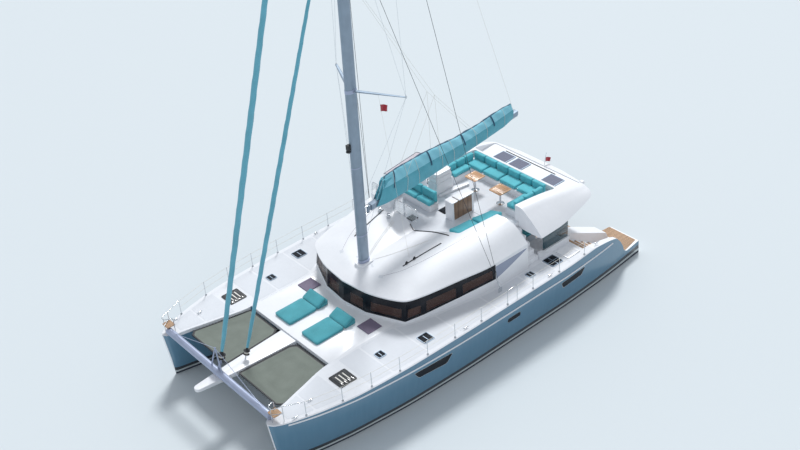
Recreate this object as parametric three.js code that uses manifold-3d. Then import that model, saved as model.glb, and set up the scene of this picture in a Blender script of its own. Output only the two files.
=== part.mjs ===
// Sailing catamaran afloat: two decked hulls, a bridgedeck with a hollow saloon, a flybridge and its rig.
// Millimetres. +X to the bows, +Y to port, +Z up.
// The origin is amidships on the centre plane, at the waterline.
import * as THREE from 'three';
import { mergeVertices } from 'three/addons/utils/BufferGeometryUtils.js';
import Module from 'manifold-3d';

const wasm = await Module();
wasm.setup();

// Driving dimensions of the hulls and decks
const GAP = 0.3;
const BOW_X = 8880;
const STERN_X = -9320;
const HULL_Y = 3390;
const INNER_Y = 2350;
const DECK_Z = 2050;
const RAIL_DROP = 320;
const UNDERWING_Z = 900;
const SOLE_Z = 1200;
const FOREDECK_FRONT_X = 5550;
const KNEE_X = FOREDECK_FRONT_X + 30;
const FOREDECK_AFT_X = 2150;
const COCKPIT_AFT_X = -5900;
const SLIDE_PLAY = 0.6;
const COAMING_Z = 2300;
const STEM_RAKE = 0.11;

// Stern steps
const STEP_FRONT_X = -5700;
const STEP_RUN = 400;
const STEP_COUNT = 6;
const PLATFORM_Z = 560;
const STEP_INNER_Y = 3000;
const BULWARK_Y = 4120;
const SHOULDER = { fore: -6000, bend: [-7900, 1900], waist: [-8080, 1000], heel: [-8150, 620], foot: -8420 };
const QUAY = { fore: -6100, edge: [-8450, 900], foot: -8600 };

// Superstructure
const BULKHEAD_X = -3300;
const WALL = 60;
const BROW_Z = 3000;
const BROW_SLOPE = 0.03;
const BROW_X = 2880;
const FLY_FLOOR_Z = 3320;
const SOLAR_DECK_Z = 3500;
const SLOT_AFT_X = -4000;
const HARDTOP_UNDER_Z = 3060;

// Rig
const MAST_X = 1860;
const MAST_FOOT_Z = 3380;
const MAST_TOP_Z = 28700;
const MAST_RAKE = 0.025;
const MAST_CHORD = 450;
const MAST_WIDTH = 300;
const GOOSENECK = { x: 1440, z: 5500 };
const BOOM_END = { x: -6300, z: 6310 };
const BOOM_HEIGHT = 260;
const BOOM_WIDTH = 220;
const CHAINPLATE = { x: -1500, y: 3760 };
const GENOA = { foot: [8420, 2560], head: [1640, 23800], radius: 95, drum: 150 };
const JIB = { foot: [7440, 2130], head: [1790, 17200], radius: 80, drum: 120 };

// Moving gear below the water
const RUDDER_X = -7300;
const RUDDER_TOP_Z = -385;
const RUDDER_DEPTH = 960;
const STOCK_RADIUS = 38;
const DRIVE_X = -4950;
const SHAFT_Z = -1020;
const PROP_RADIUS = 250;

const finish = (color, roughness, metalness = 0, extra = {}) =>
  new THREE.MeshStandardMaterial({ color, roughness, metalness, ...extra });
const HULL_PAINT = finish(0x55809b, 0.25);
const GELCOAT = finish(0xf0f3f6, 0.35);
const TURQUOISE = finish(0x45a9b2, 0.9);
const MESH_NET = finish(0x7d877d, 0.95);
const TEAK = finish(0xbd9a74, 0.6);
const WOOD = finish(0xc8935f, 0.5);
const ALLOY = finish(0x9fb3c2, 0.4, 0.6);
const STEEL = finish(0xc9ced2, 0.2, 0.9);
const WIRE = finish(0x5b6064, 0.4, 0.7);
const GLASS = finish(0x1c252b, 0.05, 0, { transparent: true, opacity: 0.6 });
const TINT = finish(0x12454d, 0.1, 0, { transparent: true, opacity: 0.7 });
const LID = finish(0x786e82, 0.7);
const SAILBAG = finish(0x7fc8dc, 0.85);
const FURL = finish(0x5aa0b9, 0.85);
const CANVAS = finish(0xc4bcc1, 0.9);
const BRONZE = finish(0x9c7b45, 0.35, 0.9);
const ENGINE = finish(0x6d7276, 0.6, 0.3);

const catamaran = new THREE.Group();

// A closed three.js geometry as a solid; a shape that came out inside out is turned round
function solidOf(geometry) {
  const bare = geometry.clone();
  ['normal', 'uv'].forEach((key) => bare.deleteAttribute(key));
  const merged = mergeVertices(bare, 1e-4);
  const points = merged.attributes.position.array;
  const faces = Array.from(merged.index.array);
  let volume = 0;
  const at = (k) => new THREE.Vector3().fromArray(points, 3 * faces[k]);
  for (let k = 0; k < faces.length; k += 3) volume += at(k).dot(at(k + 1).cross(at(k + 2)));
  if (volume < 0) {
    for (let k = 0; k < faces.length; k += 3) [faces[k], faces[k + 1]] = [faces[k + 1], faces[k]];
  }
  return new wasm.Manifold(
    new wasm.Mesh({ numProp: 3, vertProperties: new Float32Array(points), triVerts: new Uint32Array(faces) }),
  );
}

// The largest body of a cut solid, without the slivers that a cut can leave at a corner
const mainBody = (solid) => solid.decompose()
  .reduce((most, body) => (body.volume() > most.volume() ? body : most));

const union = (parts) => parts.reduce((all, part) => all.add(part));

// The solid's mesh as a geometry; side -1 gives its mirror image across the centre plane
function geometryOf(solid, side = 1) {
  const mesh = solid.getMesh();
  const points = Float32Array.from(mesh.vertProperties);
  const faces = Array.from(mesh.triVerts);
  if (side < 0) {
    for (let k = 1; k < points.length; k += 3) points[k] *= -1;
    for (let k = 0; k < faces.length; k += 3) [faces[k], faces[k + 1]] = [faces[k + 1], faces[k]];
  }
  const geometry = new THREE.BufferGeometry();
  geometry.setAttribute('position', new THREE.BufferAttribute(points, 3));
  geometry.setIndex(faces);
  geometry.computeVertexNormals();
  return geometry;
}

function add(name, solid, material, place = [0, 0, 0], side = 1) {
  const mesh = new THREE.Mesh(geometryOf(solid, side), material);
  mesh.name = name;
  mesh.position.set(place[0], place[1] * side, place[2]);
  catamaran.add(mesh);
}

// The same piece to port and, mirrored, to starboard
function addPair(name, solid, material, place = [0, 0, 0]) {
  add(`${name}_port`, solid, material, place, 1);
  add(`${name}_starboard`, solid, material, place, -1);
}

// Box between two corners given as ranges
function box([x0, x1], [y0, y1], [z0, z1]) {
  const geometry = new THREE.BoxGeometry(x1 - x0, y1 - y0, z1 - z0);
  return solidOf(geometry.translate((x0 + x1) / 2, (y0 + y1) / 2, (z0 + z1) / 2));
}

// Outline drawn in one plane and carried along the third axis from one level to another
const PLANES = {
  xy: [[1, 0, 0], [0, 1, 0], [0, 0, 1]],
  xz: [[1, 0, 0], [0, 0, 1], [0, -1, 0]],
  yz: [[0, 1, 0], [0, 0, 1], [1, 0, 0]],
};

function prism(plane, outline, [from, to]) {
  const shape = outline instanceof THREE.Shape
    ? outline
    : new THREE.Shape(outline.map(([a, b]) => new THREE.Vector2(a, b)));
  const geometry = new THREE.ExtrudeGeometry(shape,
    { depth: to - from, bevelEnabled: false, curveSegments: 6 });
  const [right, up, out] = PLANES[plane].map((axis) => new THREE.Vector3(...axis));
  const start = plane === 'xz' ? -to : from;
  geometry.translate(0, 0, start);
  return solidOf(geometry.applyMatrix4(new THREE.Matrix4().makeBasis(right, up, out)));
}

// Round bar between two points, tapered when a second radius is given
function bar(a, b, radius, sides = 8, endRadius = radius) {
  const start = new THREE.Vector3(...a);
  const along = new THREE.Vector3(...b).sub(start);
  const geometry = new THREE.CylinderGeometry(endRadius, radius, along.length(), sides);
  geometry.translate(0, along.length() / 2, 0);
  const turn = new THREE.Quaternion().setFromUnitVectors(new THREE.Vector3(0, 1, 0), along.clone().normalize());
  return solidOf(geometry.applyQuaternion(turn).translate(...start.toArray()));
}

// Round tube along straight runs between points, with a ball of the same size at each bend
function pipe(points, radius, sides = 8) {
  const runs = points.slice(1).map((point, k) => bar(points[k], point, radius, sides));
  const bends = points.slice(1, -1).map((point) => ball(point, radius, sides));
  return union([...runs, ...bends]);
}

function ball(centre, radius, sides = 8) {
  return solidOf(new THREE.SphereGeometry(radius, sides, sides / 2).translate(...centre));
}

// Triangles over a flat ring, each running the way round that the ring does
function capOf(ring) {
  const corners = ring.map((point) => new THREE.Vector3(...point));
  const normal = new THREE.Vector3();
  corners.forEach((corner, k) => normal.add(corner.clone().cross(corners[(k + 1) % ring.length])));
  const size = normal.toArray().map(Math.abs);
  const drop = size.indexOf(Math.max(...size));
  const flat = ring.map((point) => new THREE.Vector2(...point.filter((_, axis) => axis !== drop)));
  const turned = THREE.ShapeUtils.isClockWise(flat);
  if (turned) flat.reverse();
  const faces = THREE.ShapeUtils.triangulateShape(flat, []);
  return turned ? faces.map((face) => face.map((k) => ring.length - 1 - k).reverse()) : faces;
}

// Skin over rings that have the same number of points, with a flat cap at both ends
function loft(rings) {
  const count = rings[0].length;
  const faces = [];
  for (let r = 0; r + 1 < rings.length; r += 1) {
    for (let k = 0; k < count; k += 1) {
      const next = (k + 1) % count;
      const [a, b] = [r * count + k, r * count + next];
      faces.push(a, b, b + count, a, b + count, a + count);
    }
  }
  const last = (rings.length - 1) * count;
  capOf(rings[0]).forEach(([a, b, c]) => faces.push(c, b, a));
  capOf(rings[rings.length - 1]).forEach(([a, b, c]) => faces.push(last + a, last + b, last + c));
  const geometry = new THREE.BufferGeometry();
  geometry.setAttribute('position', new THREE.Float32BufferAttribute(rings.flat(2), 3));
  geometry.setIndex(faces);
  return solidOf(geometry);
}

// Points and seats on a furled sail's stay, measured up from its foot
const stayLength = ({ foot, head }) => Math.hypot(head[0] - foot[0], head[1] - foot[1]);
function onStay({ foot, head }, distance) {
  const share = distance / stayLength({ foot, head });
  return [foot[0] + (head[0] - foot[0]) * share, 0, foot[1] + (head[1] - foot[1]) * share];
}
const STAY_PIN = 24;
const staySeat = (sail, from, to) => bar(onStay(sail, from), onStay(sail, to), STAY_PIN, 16);

const mix = (a, b, share) => a + (b - a) * share;

// Value at x from a table of [x, value] rows that runs from the bow aft
function along(rows, x, column = 1) {
  const after = rows.findIndex((row) => row[0] <= x);
  if (after <= 0) return rows[after === 0 ? 0 : rows.length - 1][column];
  const [fore, aft] = [rows[after - 1], rows[after]];
  return mix(aft[column], fore[column], (x - aft[0]) / (fore[0] - aft[0]));
}

// Hulls. Columns: x, half breadth at the waterline, depth of the canoe body, outer and inner deck edge
const HULL_ROWS = [
  [BOW_X, 12, 60, 3350, 3250],
  [8780, 50, 210, 3490, 3120],
  [8500, 95, 340, 3660, 2990],
  [8000, 200, 480, 3850, 2890],
  [7000, 400, 640, 4130, 2640],
  [KNEE_X, 610, 760, 4380, INNER_Y],
  [3000, 850, 850, 4530, INNER_Y],
  [0, 930, 880, 4560, INNER_Y],
  [-4000, 930, 760, 4550, INNER_Y],
  [-6000, 880, 520, 4450, INNER_Y],
  [-7500, 800, 280, 4300, INNER_Y],
  [STERN_X, 660, 60, 3980, INNER_Y + 80],
];
const [OUTER, INNER] = [3, 4];
const BILGE_STEPS = 8;
const deckEdge = (x, column) => along(HULL_ROWS, x, column);

// Closed section of the port hull, from the outer deck edge under the keel to the inner deck edge
function hullSection([x, half, depth, outer, inner], grow) {
  const rake = STEM_RAKE * Math.max(0, (x - 6000) / (BOW_X - 6000));
  const points = [[outer, DECK_Z], [outer, DECK_Z - RAIL_DROP], [mix(HULL_Y + half, outer, 0.7), UNDERWING_Z]];
  for (let k = 0; k <= BILGE_STEPS; k += 1) {
    const angle = (Math.PI * k) / BILGE_STEPS;
    const fullness = Math.sin(angle) ** 0.85;
    points.push([HULL_Y + (half + grow) * Math.cos(angle), -(depth + grow) * fullness]);
  }
  points.push([inner, UNDERWING_Z], [inner, DECK_Z]);
  return points.map(([y, z]) => [x - rake * (DECK_Z - z), y, z]);
}

const hullBody = (grow = 0) => loft(HULL_ROWS.map((row) => hullSection(row, grow)));

// Steps down to the bathing platform, and the rounded end of the bulwark beside them
const CLEAR = 100;
function sternCut() {
  const [end, sky] = [STERN_X - 2 * CLEAR, DECK_Z + CLEAR];
  const steps = [[STEP_FRONT_X, sky]];
  const rise = (DECK_Z - PLATFORM_Z) / STEP_COUNT;
  for (let k = 0; k < STEP_COUNT; k += 1) {
    const x = STEP_FRONT_X - k * STEP_RUN;
    const z = DECK_Z - (k + 1) * rise;
    steps.push([x, z], [x - STEP_RUN, z]);
  }
  steps.pop();
  steps.push([end, PLATFORM_Z], [end, sky]);
  const shoulder = new THREE.Shape();
  shoulder.moveTo(SHOULDER.fore, sky);
  shoulder.lineTo(SHOULDER.fore, DECK_Z);
  shoulder.quadraticCurveTo(...SHOULDER.bend, ...SHOULDER.waist);
  shoulder.quadraticCurveTo(...SHOULDER.heel, SHOULDER.foot, PLATFORM_Z);
  shoulder.lineTo(end, PLATFORM_Z);
  shoulder.lineTo(end, sky);
  const quay = [[QUAY.fore, sky], [QUAY.fore, DECK_Z], QUAY.edge, [QUAY.foot, PLATFORM_Z],
    [end, PLATFORM_Z], [end, sky]];
  return union([
    prism('xz', steps, [STEP_INNER_Y, BULWARK_Y]),
    prism('xz', shoulder, [BULWARK_Y - 1, HULL_Y + 2000]),
    prism('xz', quay, [INNER_Y - CLEAR, STEP_INNER_Y + 1]),
  ]);
}

// Deck lids over wells. Columns: name, centre x and y, lid length and width, well depth, finish
const LID_THICK = 34;
const LID_RIM = 28;
const LID_SEAT = 0.6;
const HULL_LIDS = [
  ['fore_hatch', 5700, 3310, 720, 720, 420, GLASS],
  ['engine_lid', -5140, 3850, 700, 640, 1900, GELCOAT],
];
const DECK_LIDS = [['locker_lid', 3240, 1800, 640, 640, 600, LID]];

const wells = (rows) => union(rows.map(([, x, y, length, width, depth]) => box(
  [x - length / 2 + LID_RIM, x + length / 2 - LID_RIM],
  [y - width / 2 + LID_RIM, y + width / 2 - LID_RIM],
  [DECK_Z - depth, DECK_Z + CLEAR],
)));

// Each lid is drawn from its hinge line, at its forward lower edge
function addLids(rows) {
  rows.forEach(([name, x, y, length, width, , material]) => {
    const lid = box([-length, 0], [-width / 2, width / 2], [0, LID_THICK]);
    const frame = box([-length + 60, -60], [-width / 2 + 60, width / 2 - 60], [LID_THICK - 8, LID_THICK + 8]);
    addPair(name, lid.subtract(frame), material, [x + length / 2, y, DECK_Z + LID_SEAT]);
  });
}

// Bore for the rudder stock, which is rooted inside the blade
const STOCK_TOP = 500;
const STOCK_ROOT = 100;
const STOCK_PLAY = 1;
const stock = (radius, top) => bar([0, 0, -STOCK_ROOT], [0, 0, top], radius, 24);
const rudderBore = stock(STOCK_RADIUS + STOCK_PLAY, STOCK_TOP + 60)
  .translate([RUDDER_X, HULL_Y, RUDDER_TOP_Z - 20]);

// Stub keel under each hull
const KEEL = { fore: 1700, aft: -1500, top: -500, foot: -1400, half: 190 };
function keelRing(z, foreCut, aftCut, half) {
  const [fore, aft] = [KEEL.fore - foreCut, KEEL.aft + aftCut];
  const table = [[0, 0], [0.12, 0.8], [0.35, 1], [0.7, 0.65], [1, 0.05]];
  const side = table.map(([share, breadth]) => [mix(fore, aft, share), breadth * half]);
  const mirrored = side.slice(1).reverse().map(([x, y]) => [x, -y]);
  return [...side, ...mirrored].map(([x, y]) => [x, HULL_Y + y, z]);
}
const keel = loft([
  keelRing(KEEL.foot, 330, 300, KEEL.half * 0.75),
  keelRing(KEEL.top, 0, 0, KEEL.half),
]);

const COAMING = { aft: -5760, fore: -4030, inner: 3240, outer: 3400, root: 50 };
const coaming = box([COAMING.aft, COAMING.fore], [COAMING.inner, COAMING.outer],
  [DECK_Z - COAMING.root, COAMING_Z]);
const hull = union([hullBody(), keel, coaming])
  .subtract(sternCut()).subtract(wells(HULL_LIDS)).subtract(rudderBore);
addPair('hull', hull, HULL_PAINT);
addLids(HULL_LIDS);

// Engine block on the floor of its bay
const [, bayX, bayY, , , bayDepth] = HULL_LIDS[1];
const BLOCK = { length: 540, width: 460, height: 640 };
const BLOCK_FLOOR_Z = DECK_Z - bayDepth;
const engineBlock = box([bayX - BLOCK.length / 2, bayX + BLOCK.length / 2],
  [bayY - BLOCK.width / 2, bayY + BLOCK.width / 2], [BLOCK_FLOOR_Z + GAP, BLOCK_FLOOR_Z + BLOCK.height]);
addPair('engine', engineBlock, ENGINE);

// Rudders turn on their stocks in the hull. Columns of the outline: share of the chord, share of the thickness
const RUDDER_OUTLINE = [[0.25, 0], [0.1, 0.85], [-0.1, 1], [-0.45, 0.6], [-0.75, 0.08],
  [-0.75, -0.08], [-0.45, -0.6], [-0.1, -1], [0.1, -0.85]];
const RUDDER_CHORD = { top: 600, foot: 430 };
const RUDDER_THICKNESS = 0.08;
function rudder() {
  const ring = (z, chord) => RUDDER_OUTLINE.map(([x, y]) => [x * chord, y * chord * RUDDER_THICKNESS, z]);
  const blade = loft([ring(-RUDDER_DEPTH, RUDDER_CHORD.foot), ring(0, RUDDER_CHORD.top)]);
  return blade.add(stock(STOCK_RADIUS, STOCK_TOP));
}
addPair('rudder', rudder(), HULL_PAINT, [RUDDER_X, HULL_Y, RUDDER_TOP_Z]);

// Sail drive leg with its gear housing, and the propeller on its shaft
// Columns of the leg's outline: share of the chord, share of the half thickness
const LEG_OUTLINE = [[0.5, 0], [0.2, 1], [-0.5, 0.25], [-0.5, -0.25], [0.2, -1]];
const LEG = { top: { z: -300, chord: 330, half: 60 }, foot: { z: SHAFT_Z, chord: 230, half: 40 } };
const SHAFT_RADIUS = 22;
const HOUSING = { fore: 150, aft: -170, radius: 75, taper: 20, bore: [-40, -300] };
function saildrive() {
  const ring = ({ z, chord, half }) => LEG_OUTLINE.map(([x, y]) => [DRIVE_X + x * chord, HULL_Y + y * half, z]);
  const onShaft = (x) => [DRIVE_X + x, HULL_Y, SHAFT_Z];
  const leg = loft([ring(LEG.foot), ring(LEG.top)]).subtract(hullBody(GAP));
  const housing = bar(onShaft(HOUSING.fore), onShaft(HOUSING.aft),
    HOUSING.radius, 16, HOUSING.radius - HOUSING.taper);
  const bore = bar(...HOUSING.bore.map(onShaft), SHAFT_RADIUS + 1, 24);
  return leg.add(housing).subtract(bore);
}
addPair('saildrive', saildrive(), ALLOY);

const BLADE = { count: 3, half: 95, reach: 115, thick: 14, pitch: 0.5, x: -62 };
const HUB = { fore: -6, aft: -130, radius: 55, tip: 30, shaft: [100, -20] };
function propeller() {
  const hub = bar([HUB.fore, 0, 0], [HUB.aft, 0, 0], HUB.radius, 16, HUB.tip);
  const shaft = bar(...HUB.shaft.map((x) => [x, 0, 0]), SHAFT_RADIUS, 24);
  const blades = Array.from({ length: BLADE.count }, (_, k) => {
    const geometry = new THREE.CylinderGeometry(1, 1, BLADE.thick, 14);
    geometry.scale(BLADE.half, 1, BLADE.reach).rotateZ(Math.PI / 2).translate(0, 0, PROP_RADIUS - BLADE.reach);
    geometry.rotateZ(BLADE.pitch).rotateX((2 * Math.PI * k) / BLADE.count).translate(BLADE.x, 0, 0);
    return solidOf(geometry);
  });
  return union([hub, shaft, ...blades]);
}
addPair('propeller', propeller(), BRONZE, [DRIVE_X + HOUSING.aft, HULL_Y, SHAFT_Z]);

// Bridgedeck: foredeck with its lockers, saloon sole and cockpit sole in one moulding between the hulls
const SIDE_Y = INNER_Y - GAP;
const NACELLE = { lip: 160, foot: 4700 };
const bridgeProfile = [
  [FOREDECK_FRONT_X, DECK_Z], [FOREDECK_FRONT_X, DECK_Z - NACELLE.lip], [NACELLE.foot, UNDERWING_Z + 5],
  [COCKPIT_AFT_X, UNDERWING_Z + 5], [COCKPIT_AFT_X, SOLE_Z], [FOREDECK_AFT_X, SOLE_Z], [FOREDECK_AFT_X, DECK_Z],
];
// Lifting platform between the sterns
const LIFT = { fore: -6060, aft: -8100, half: 2280, top: 620, thick: 90, railY: 1500 };
// Guide posts of the platform, down from the bridgedeck's aft face
const POST = { depth: 100, half: 60, foot: -350 };
const liftPosts = [-1, 1].map((side) => box([COCKPIT_AFT_X - POST.depth, COCKPIT_AFT_X + 5],
  [side * LIFT.railY - POST.half, side * LIFT.railY + POST.half], [POST.foot, SOLE_Z]));
const bridgedeck = union([prism('xz', bridgeProfile, [-SIDE_Y, SIDE_Y]), ...liftPosts])
  .subtract(wells(DECK_LIDS))
  .subtract(wells(DECK_LIDS.map(([name, x, y, ...rest]) => [name, x, -y, ...rest])));
add('bridgedeck', bridgedeck, GELCOAT);
addLids(DECK_LIDS);

// Longeron from the foredeck to its rounded tip, under the cross beam
const NET_Z = 1950;
const NET_AFT_X = FOREDECK_FRONT_X + GAP;
const NET_FORE_X = 8100;
const NET_THICK = 14;
const LONGERON_ROWS = [[9460, 150], [NET_FORE_X, 290], [FOREDECK_FRONT_X, 450]];
const LONGERON_TOP = 1990;
const LONGERON_DEPTH = 260;
const LONGERON_TAPER = [[6200, 1700], [9700, 1700], [9700, 1870]];
function longeron() {
  const side = LONGERON_ROWS.map(([x, y]) => [x === FOREDECK_FRONT_X ? x + GAP : x, y]);
  const shape = new THREE.Shape();
  const [tip, middle, root] = side;
  shape.moveTo(root[0], -root[1]);
  shape.lineTo(middle[0], -middle[1]);
  shape.lineTo(tip[0], -tip[1]);
  shape.absarc(tip[0], 0, tip[1], -Math.PI / 2, Math.PI / 2, false);
  shape.lineTo(middle[0], middle[1]);
  shape.lineTo(root[0], root[1]);
  const body = prism('xy', shape, [LONGERON_TOP - LONGERON_DEPTH, LONGERON_TOP]);
  const taper = prism('xz', LONGERON_TAPER, [-600, 600]);
  return body.subtract(taper).add(staySeat(JIB, -200, -GAP));
}
add('longeron', longeron(), GELCOAT);

// Cross beam resting on the bow decks, with its striker frame and the tack fitting of the forestay
const BEAM = { x: 8640, radius: 135, end: 3200 };
const BEAM_Z = DECK_Z + BEAM.radius + GAP;
const STRIKER = { foot: 340, apex: 1000, rake: 90, radius: 28, stay: 9, stayInset: 400 };
const TACK = { half: 18, fore: 30, aft: 40 };
function crossbeam() {
  const tube = bar([BEAM.x, -BEAM.end, BEAM_Z], [BEAM.x, BEAM.end, BEAM_Z], BEAM.radius, 16);
  const apex = [BEAM.x - STRIKER.rake, 0, BEAM_Z + STRIKER.apex];
  const foot = (y, rise) => [BEAM.x, y, BEAM_Z + rise];
  const legs = [-1, 1].map((side) => bar(foot(side * STRIKER.foot, 60), apex, STRIKER.radius));
  const stays = [-1, 1].map((side) => bar(
    foot(side * (BEAM.end - STRIKER.stayInset), 90), apex, STRIKER.stay, 6));
  const [tackX, , tackZ] = onStay(GENOA, -40);
  const tack = prism('xz', [[BEAM.x, BEAM_Z - 60], [BEAM.x, BEAM_Z + 60], [tackX + TACK.fore, tackZ + 10],
    [tackX - TACK.aft, tackZ - 20], [BEAM.x - 120, BEAM_Z - 20]], [-TACK.half, TACK.half]);
  return union([tube, ...legs, ...stays, tack, staySeat(GENOA, -110, -GAP), ball(apex, STRIKER.radius + 12)]);
}
add('crossbeam', crossbeam(), ALLOY);

// Trampolines laced between longeron, foredeck and hull
const hullInner = (x) => deckEdge(x, INNER) - GAP;
const longeronSide = (x) => along(LONGERON_ROWS, x) + GAP;
const net = prism('xy', [
  [NET_AFT_X, longeronSide(FOREDECK_FRONT_X)], [NET_FORE_X, longeronSide(NET_FORE_X)],
  [NET_FORE_X, hullInner(NET_FORE_X)], [8000, hullInner(8000)], [7000, hullInner(7000)],
  [KNEE_X, hullInner(KNEE_X)], [NET_AFT_X, hullInner(KNEE_X)],
], [NET_Z - NET_THICK, NET_Z]);
addPair('trampoline', net, MESH_NET);

// Rails: bow pulpit, stanchions and two lifelines on each side
const RAIL_HEIGHT = 620;
const MIDLINE = 330;
const STANCHIONS = [7700, 6400, 5250, 4050, 2800, 1500, 200, -1150, -2500, -3950, -5450];
const RAIL_INSET = 70;
const TUBE = { post: 13, wire: 7, hoop: 15 };
const BOW_SEAT = { x: [8400, 8720], y: [3120, 3500], height: 300, thick: 28 };
// Corners of the pulpit's hoop. Columns: x, y
const PULPIT = [[8380, 3560], [8720, 3420], [8720, 3240], [8420, 3120]];
function rails() {
  const foot = DECK_Z + GAP;
  const hoopZ = DECK_Z + RAIL_HEIGHT + 20;
  const line = (x) => deckEdge(x, OUTER) - RAIL_INSET;
  const posts = STANCHIONS.map((x) => bar([x, line(x), foot], [x, line(x), DECK_Z + RAIL_HEIGHT], TUBE.post));
  const wires = [MIDLINE, RAIL_HEIGHT - 12].map((height) => pipe(
    STANCHIONS.map((x) => [x, line(x), DECK_Z + height]), TUBE.wire, 6));
  const start = [STANCHIONS[0], line(STANCHIONS[0]), DECK_Z + RAIL_HEIGHT - 12];
  const hoop = pipe([start, ...PULPIT.map(([x, y]) => [x, y, hoopZ]), [...PULPIT.at(-1), foot]], TUBE.hoop);
  const legs = PULPIT.slice(0, -1).map(([x, y]) => bar([x, y, foot], [x, y, hoopZ], TUBE.hoop));
  const seatZ = DECK_Z + BOW_SEAT.height;
  const seat = box(BOW_SEAT.x, BOW_SEAT.y, [seatZ, seatZ + BOW_SEAT.thick]);
  return union([...posts, ...wires, hoop, ...legs, seat]);
}
addPair('rails', rails(), STEEL);

// Saloon outline at the window foot and at the brow. Columns: foot x, foot y, brow x, brow y, sill height
const SALOON_ROWS = [
  [3000, 0, 2880, 0, 2150],
  [2870, 1150, 2750, 1140, 2145],
  [2250, 2640, 2100, 2610, 2150],
  [1550, 2860, 1480, 2850, 2210],
  [30, 3160, 0, 3140, 2310],
  [-1600, 3450, -1620, 3420, 2430],
  [BULKHEAD_X, 3500, BULKHEAD_X, 3450, 2500],
];
const browZ = (x) => BROW_Z + (BROW_X - x) * BROW_SLOPE;

// Half outlines to port and starboard as one ring, open or closed aft
const fullRing = (half) => [
  ...half.slice(1).reverse().map(([x, y, z]) => [x, -y, z]), ...half,
];

// Ring set in by a distance measured square to its sides
function inset(ring, distance) {
  return ring.map(([x, y, z], k) => {
    const before = ring[Math.max(k - 1, 0)];
    const after = ring[Math.min(k + 1, ring.length - 1)];
    const heading = new THREE.Vector2(after[0] - before[0], after[1] - before[1]).normalize();
    return [x - heading.y * distance, y + heading.x * distance, z];
  });
}

function saloonShell(inward, foot, lift, aftReach) {
  const footHalf = SALOON_ROWS.map(([x, y]) => [x, y, foot]);
  const browHalf = SALOON_ROWS.map(([, , x, y]) => [x, y, browZ(x) + lift]);
  return loft([footHalf, browHalf].map((half) => {
    const ring = inset(fullRing(half), inward);
    [0, ring.length - 1].forEach((k) => { ring[k][0] -= aftReach; });
    return ring;
  }));
}

// Six-sided cutter or pane through one facet of the wall, between its sill and its header
function facet(k, edge, depth, side) {
  const [near, far] = [SALOON_ROWS[k], SALOON_ROWS[k + 1]];
  const corner = (row, other, share, z) => {
    const height = (z - DECK_Z) / (browZ(row[2]) - DECK_Z);
    const point = (r) => [mix(r[0], r[2], height), mix(r[1], r[3], height)];
    const [p, q] = [point(row), point(other)];
    return [mix(p[0], q[0], share), mix(p[1], q[1], share)];
  };
  const span = Math.hypot(far[0] - near[0], far[1] - near[1]);
  const share = edge / span;
  const out = new THREE.Vector2(near[1] - far[1], far[0] - near[0]).normalize().negate();
  const ring = (push) => [
    [near, far, near[4] + edge], [far, near, far[4] + edge],
    [far, near, browZ(far[2]) - edge], [near, far, browZ(near[2]) - edge],
  ].map(([row, other, z]) => {
    const [x, y] = corner(row, other, share, z);
    return [x + out.x * push, side * (y + out.y * push), z];
  });
  return loft([ring(-depth), ring(120)]);
}
const MULLION = 30;
const PANE = 14;
const HEADER = 25;
const LAP = 3;
const shellOuter = saloonShell(0, DECK_Z + GAP, -GAP, 0);
const skin = (depth) => shellOuter.subtract(saloonShell(depth, DECK_Z - 10, 20, 300));
const openings = [1, -1].flatMap((side) => [0, 1, 2, 3, 4].map((k) => facet(k, MULLION, 200, side)));

// Bands of glass over the pillars: one in front, one along each side. Columns: name, first and last outline row
const BANDS = [['window_port', 2, 5, 1], ['window_starboard', 2, 5, -1]];
function band(first, last, side, play) {
  const rows = SALOON_ROWS.slice(first, last + 1);
  const edge = (row, bottom) => (bottom ? row[4] - play : browZ(row[2]) - HEADER + play);
  const point = (row, z, push) => {
    const share = (z - DECK_Z) / (browZ(row[2]) - DECK_Z);
    return [mix(row[0], row[2], share) + push[0], side * (mix(row[1], row[3], share) + push[1]), z];
  };
  return union(rows.slice(1).map((far, k) => {
    const near = rows[k];
    const span = Math.hypot(far[0] - near[0], far[1] - near[1]);
    const out = [(far[1] - near[1]) / span, (near[0] - far[0]) / span];
    const ring = (push) => {
      const lap = [-out[1] * (LAP + play), out[0] * (LAP + play)];
      const fore = out.map((part, axis) => part * push - lap[axis]);
      const aft = out.map((part, axis) => part * push + lap[axis]);
      return [point(near, edge(near, true), fore), point(far, edge(far, true), aft),
        point(far, edge(far, false), aft), point(near, edge(near, false), fore)];
    };
    return loft([ring(-200), ring(200)]);
  }));
}
const frontBand = (play) => band(0, 2, 1, play).add(band(0, 2, -1, play))
  .add(box([2500, 3300], [-60, 60], [SALOON_ROWS[0][4] - play, browZ(BROW_X) - HEADER + play]))
  .subtract(box([-4000, 2260 - play], [-4000, 4000], [0, 5000]));
const sideBand = (side, play) => band(2, 5, side, play)
  .subtract(box([2256 + play, 4000], [-4000, 4000], [0, 5000]));
const recess = union([frontBand(0), sideBand(1, 0), sideBand(-1, 0)])
  .subtract(saloonShell(PANE + GAP, DECK_Z - 10, 20, 300));
add('saloon_walls', mainBody(skin(WALL).subtract(union(openings)).subtract(recess)), GELCOAT);
add('window_front', skin(PANE).intersect(frontBand(-GAP)), GLASS);
BANDS.forEach(([name, , , side]) => add(name, skin(PANE).intersect(sideBand(side, -GAP)), GLASS));

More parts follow.
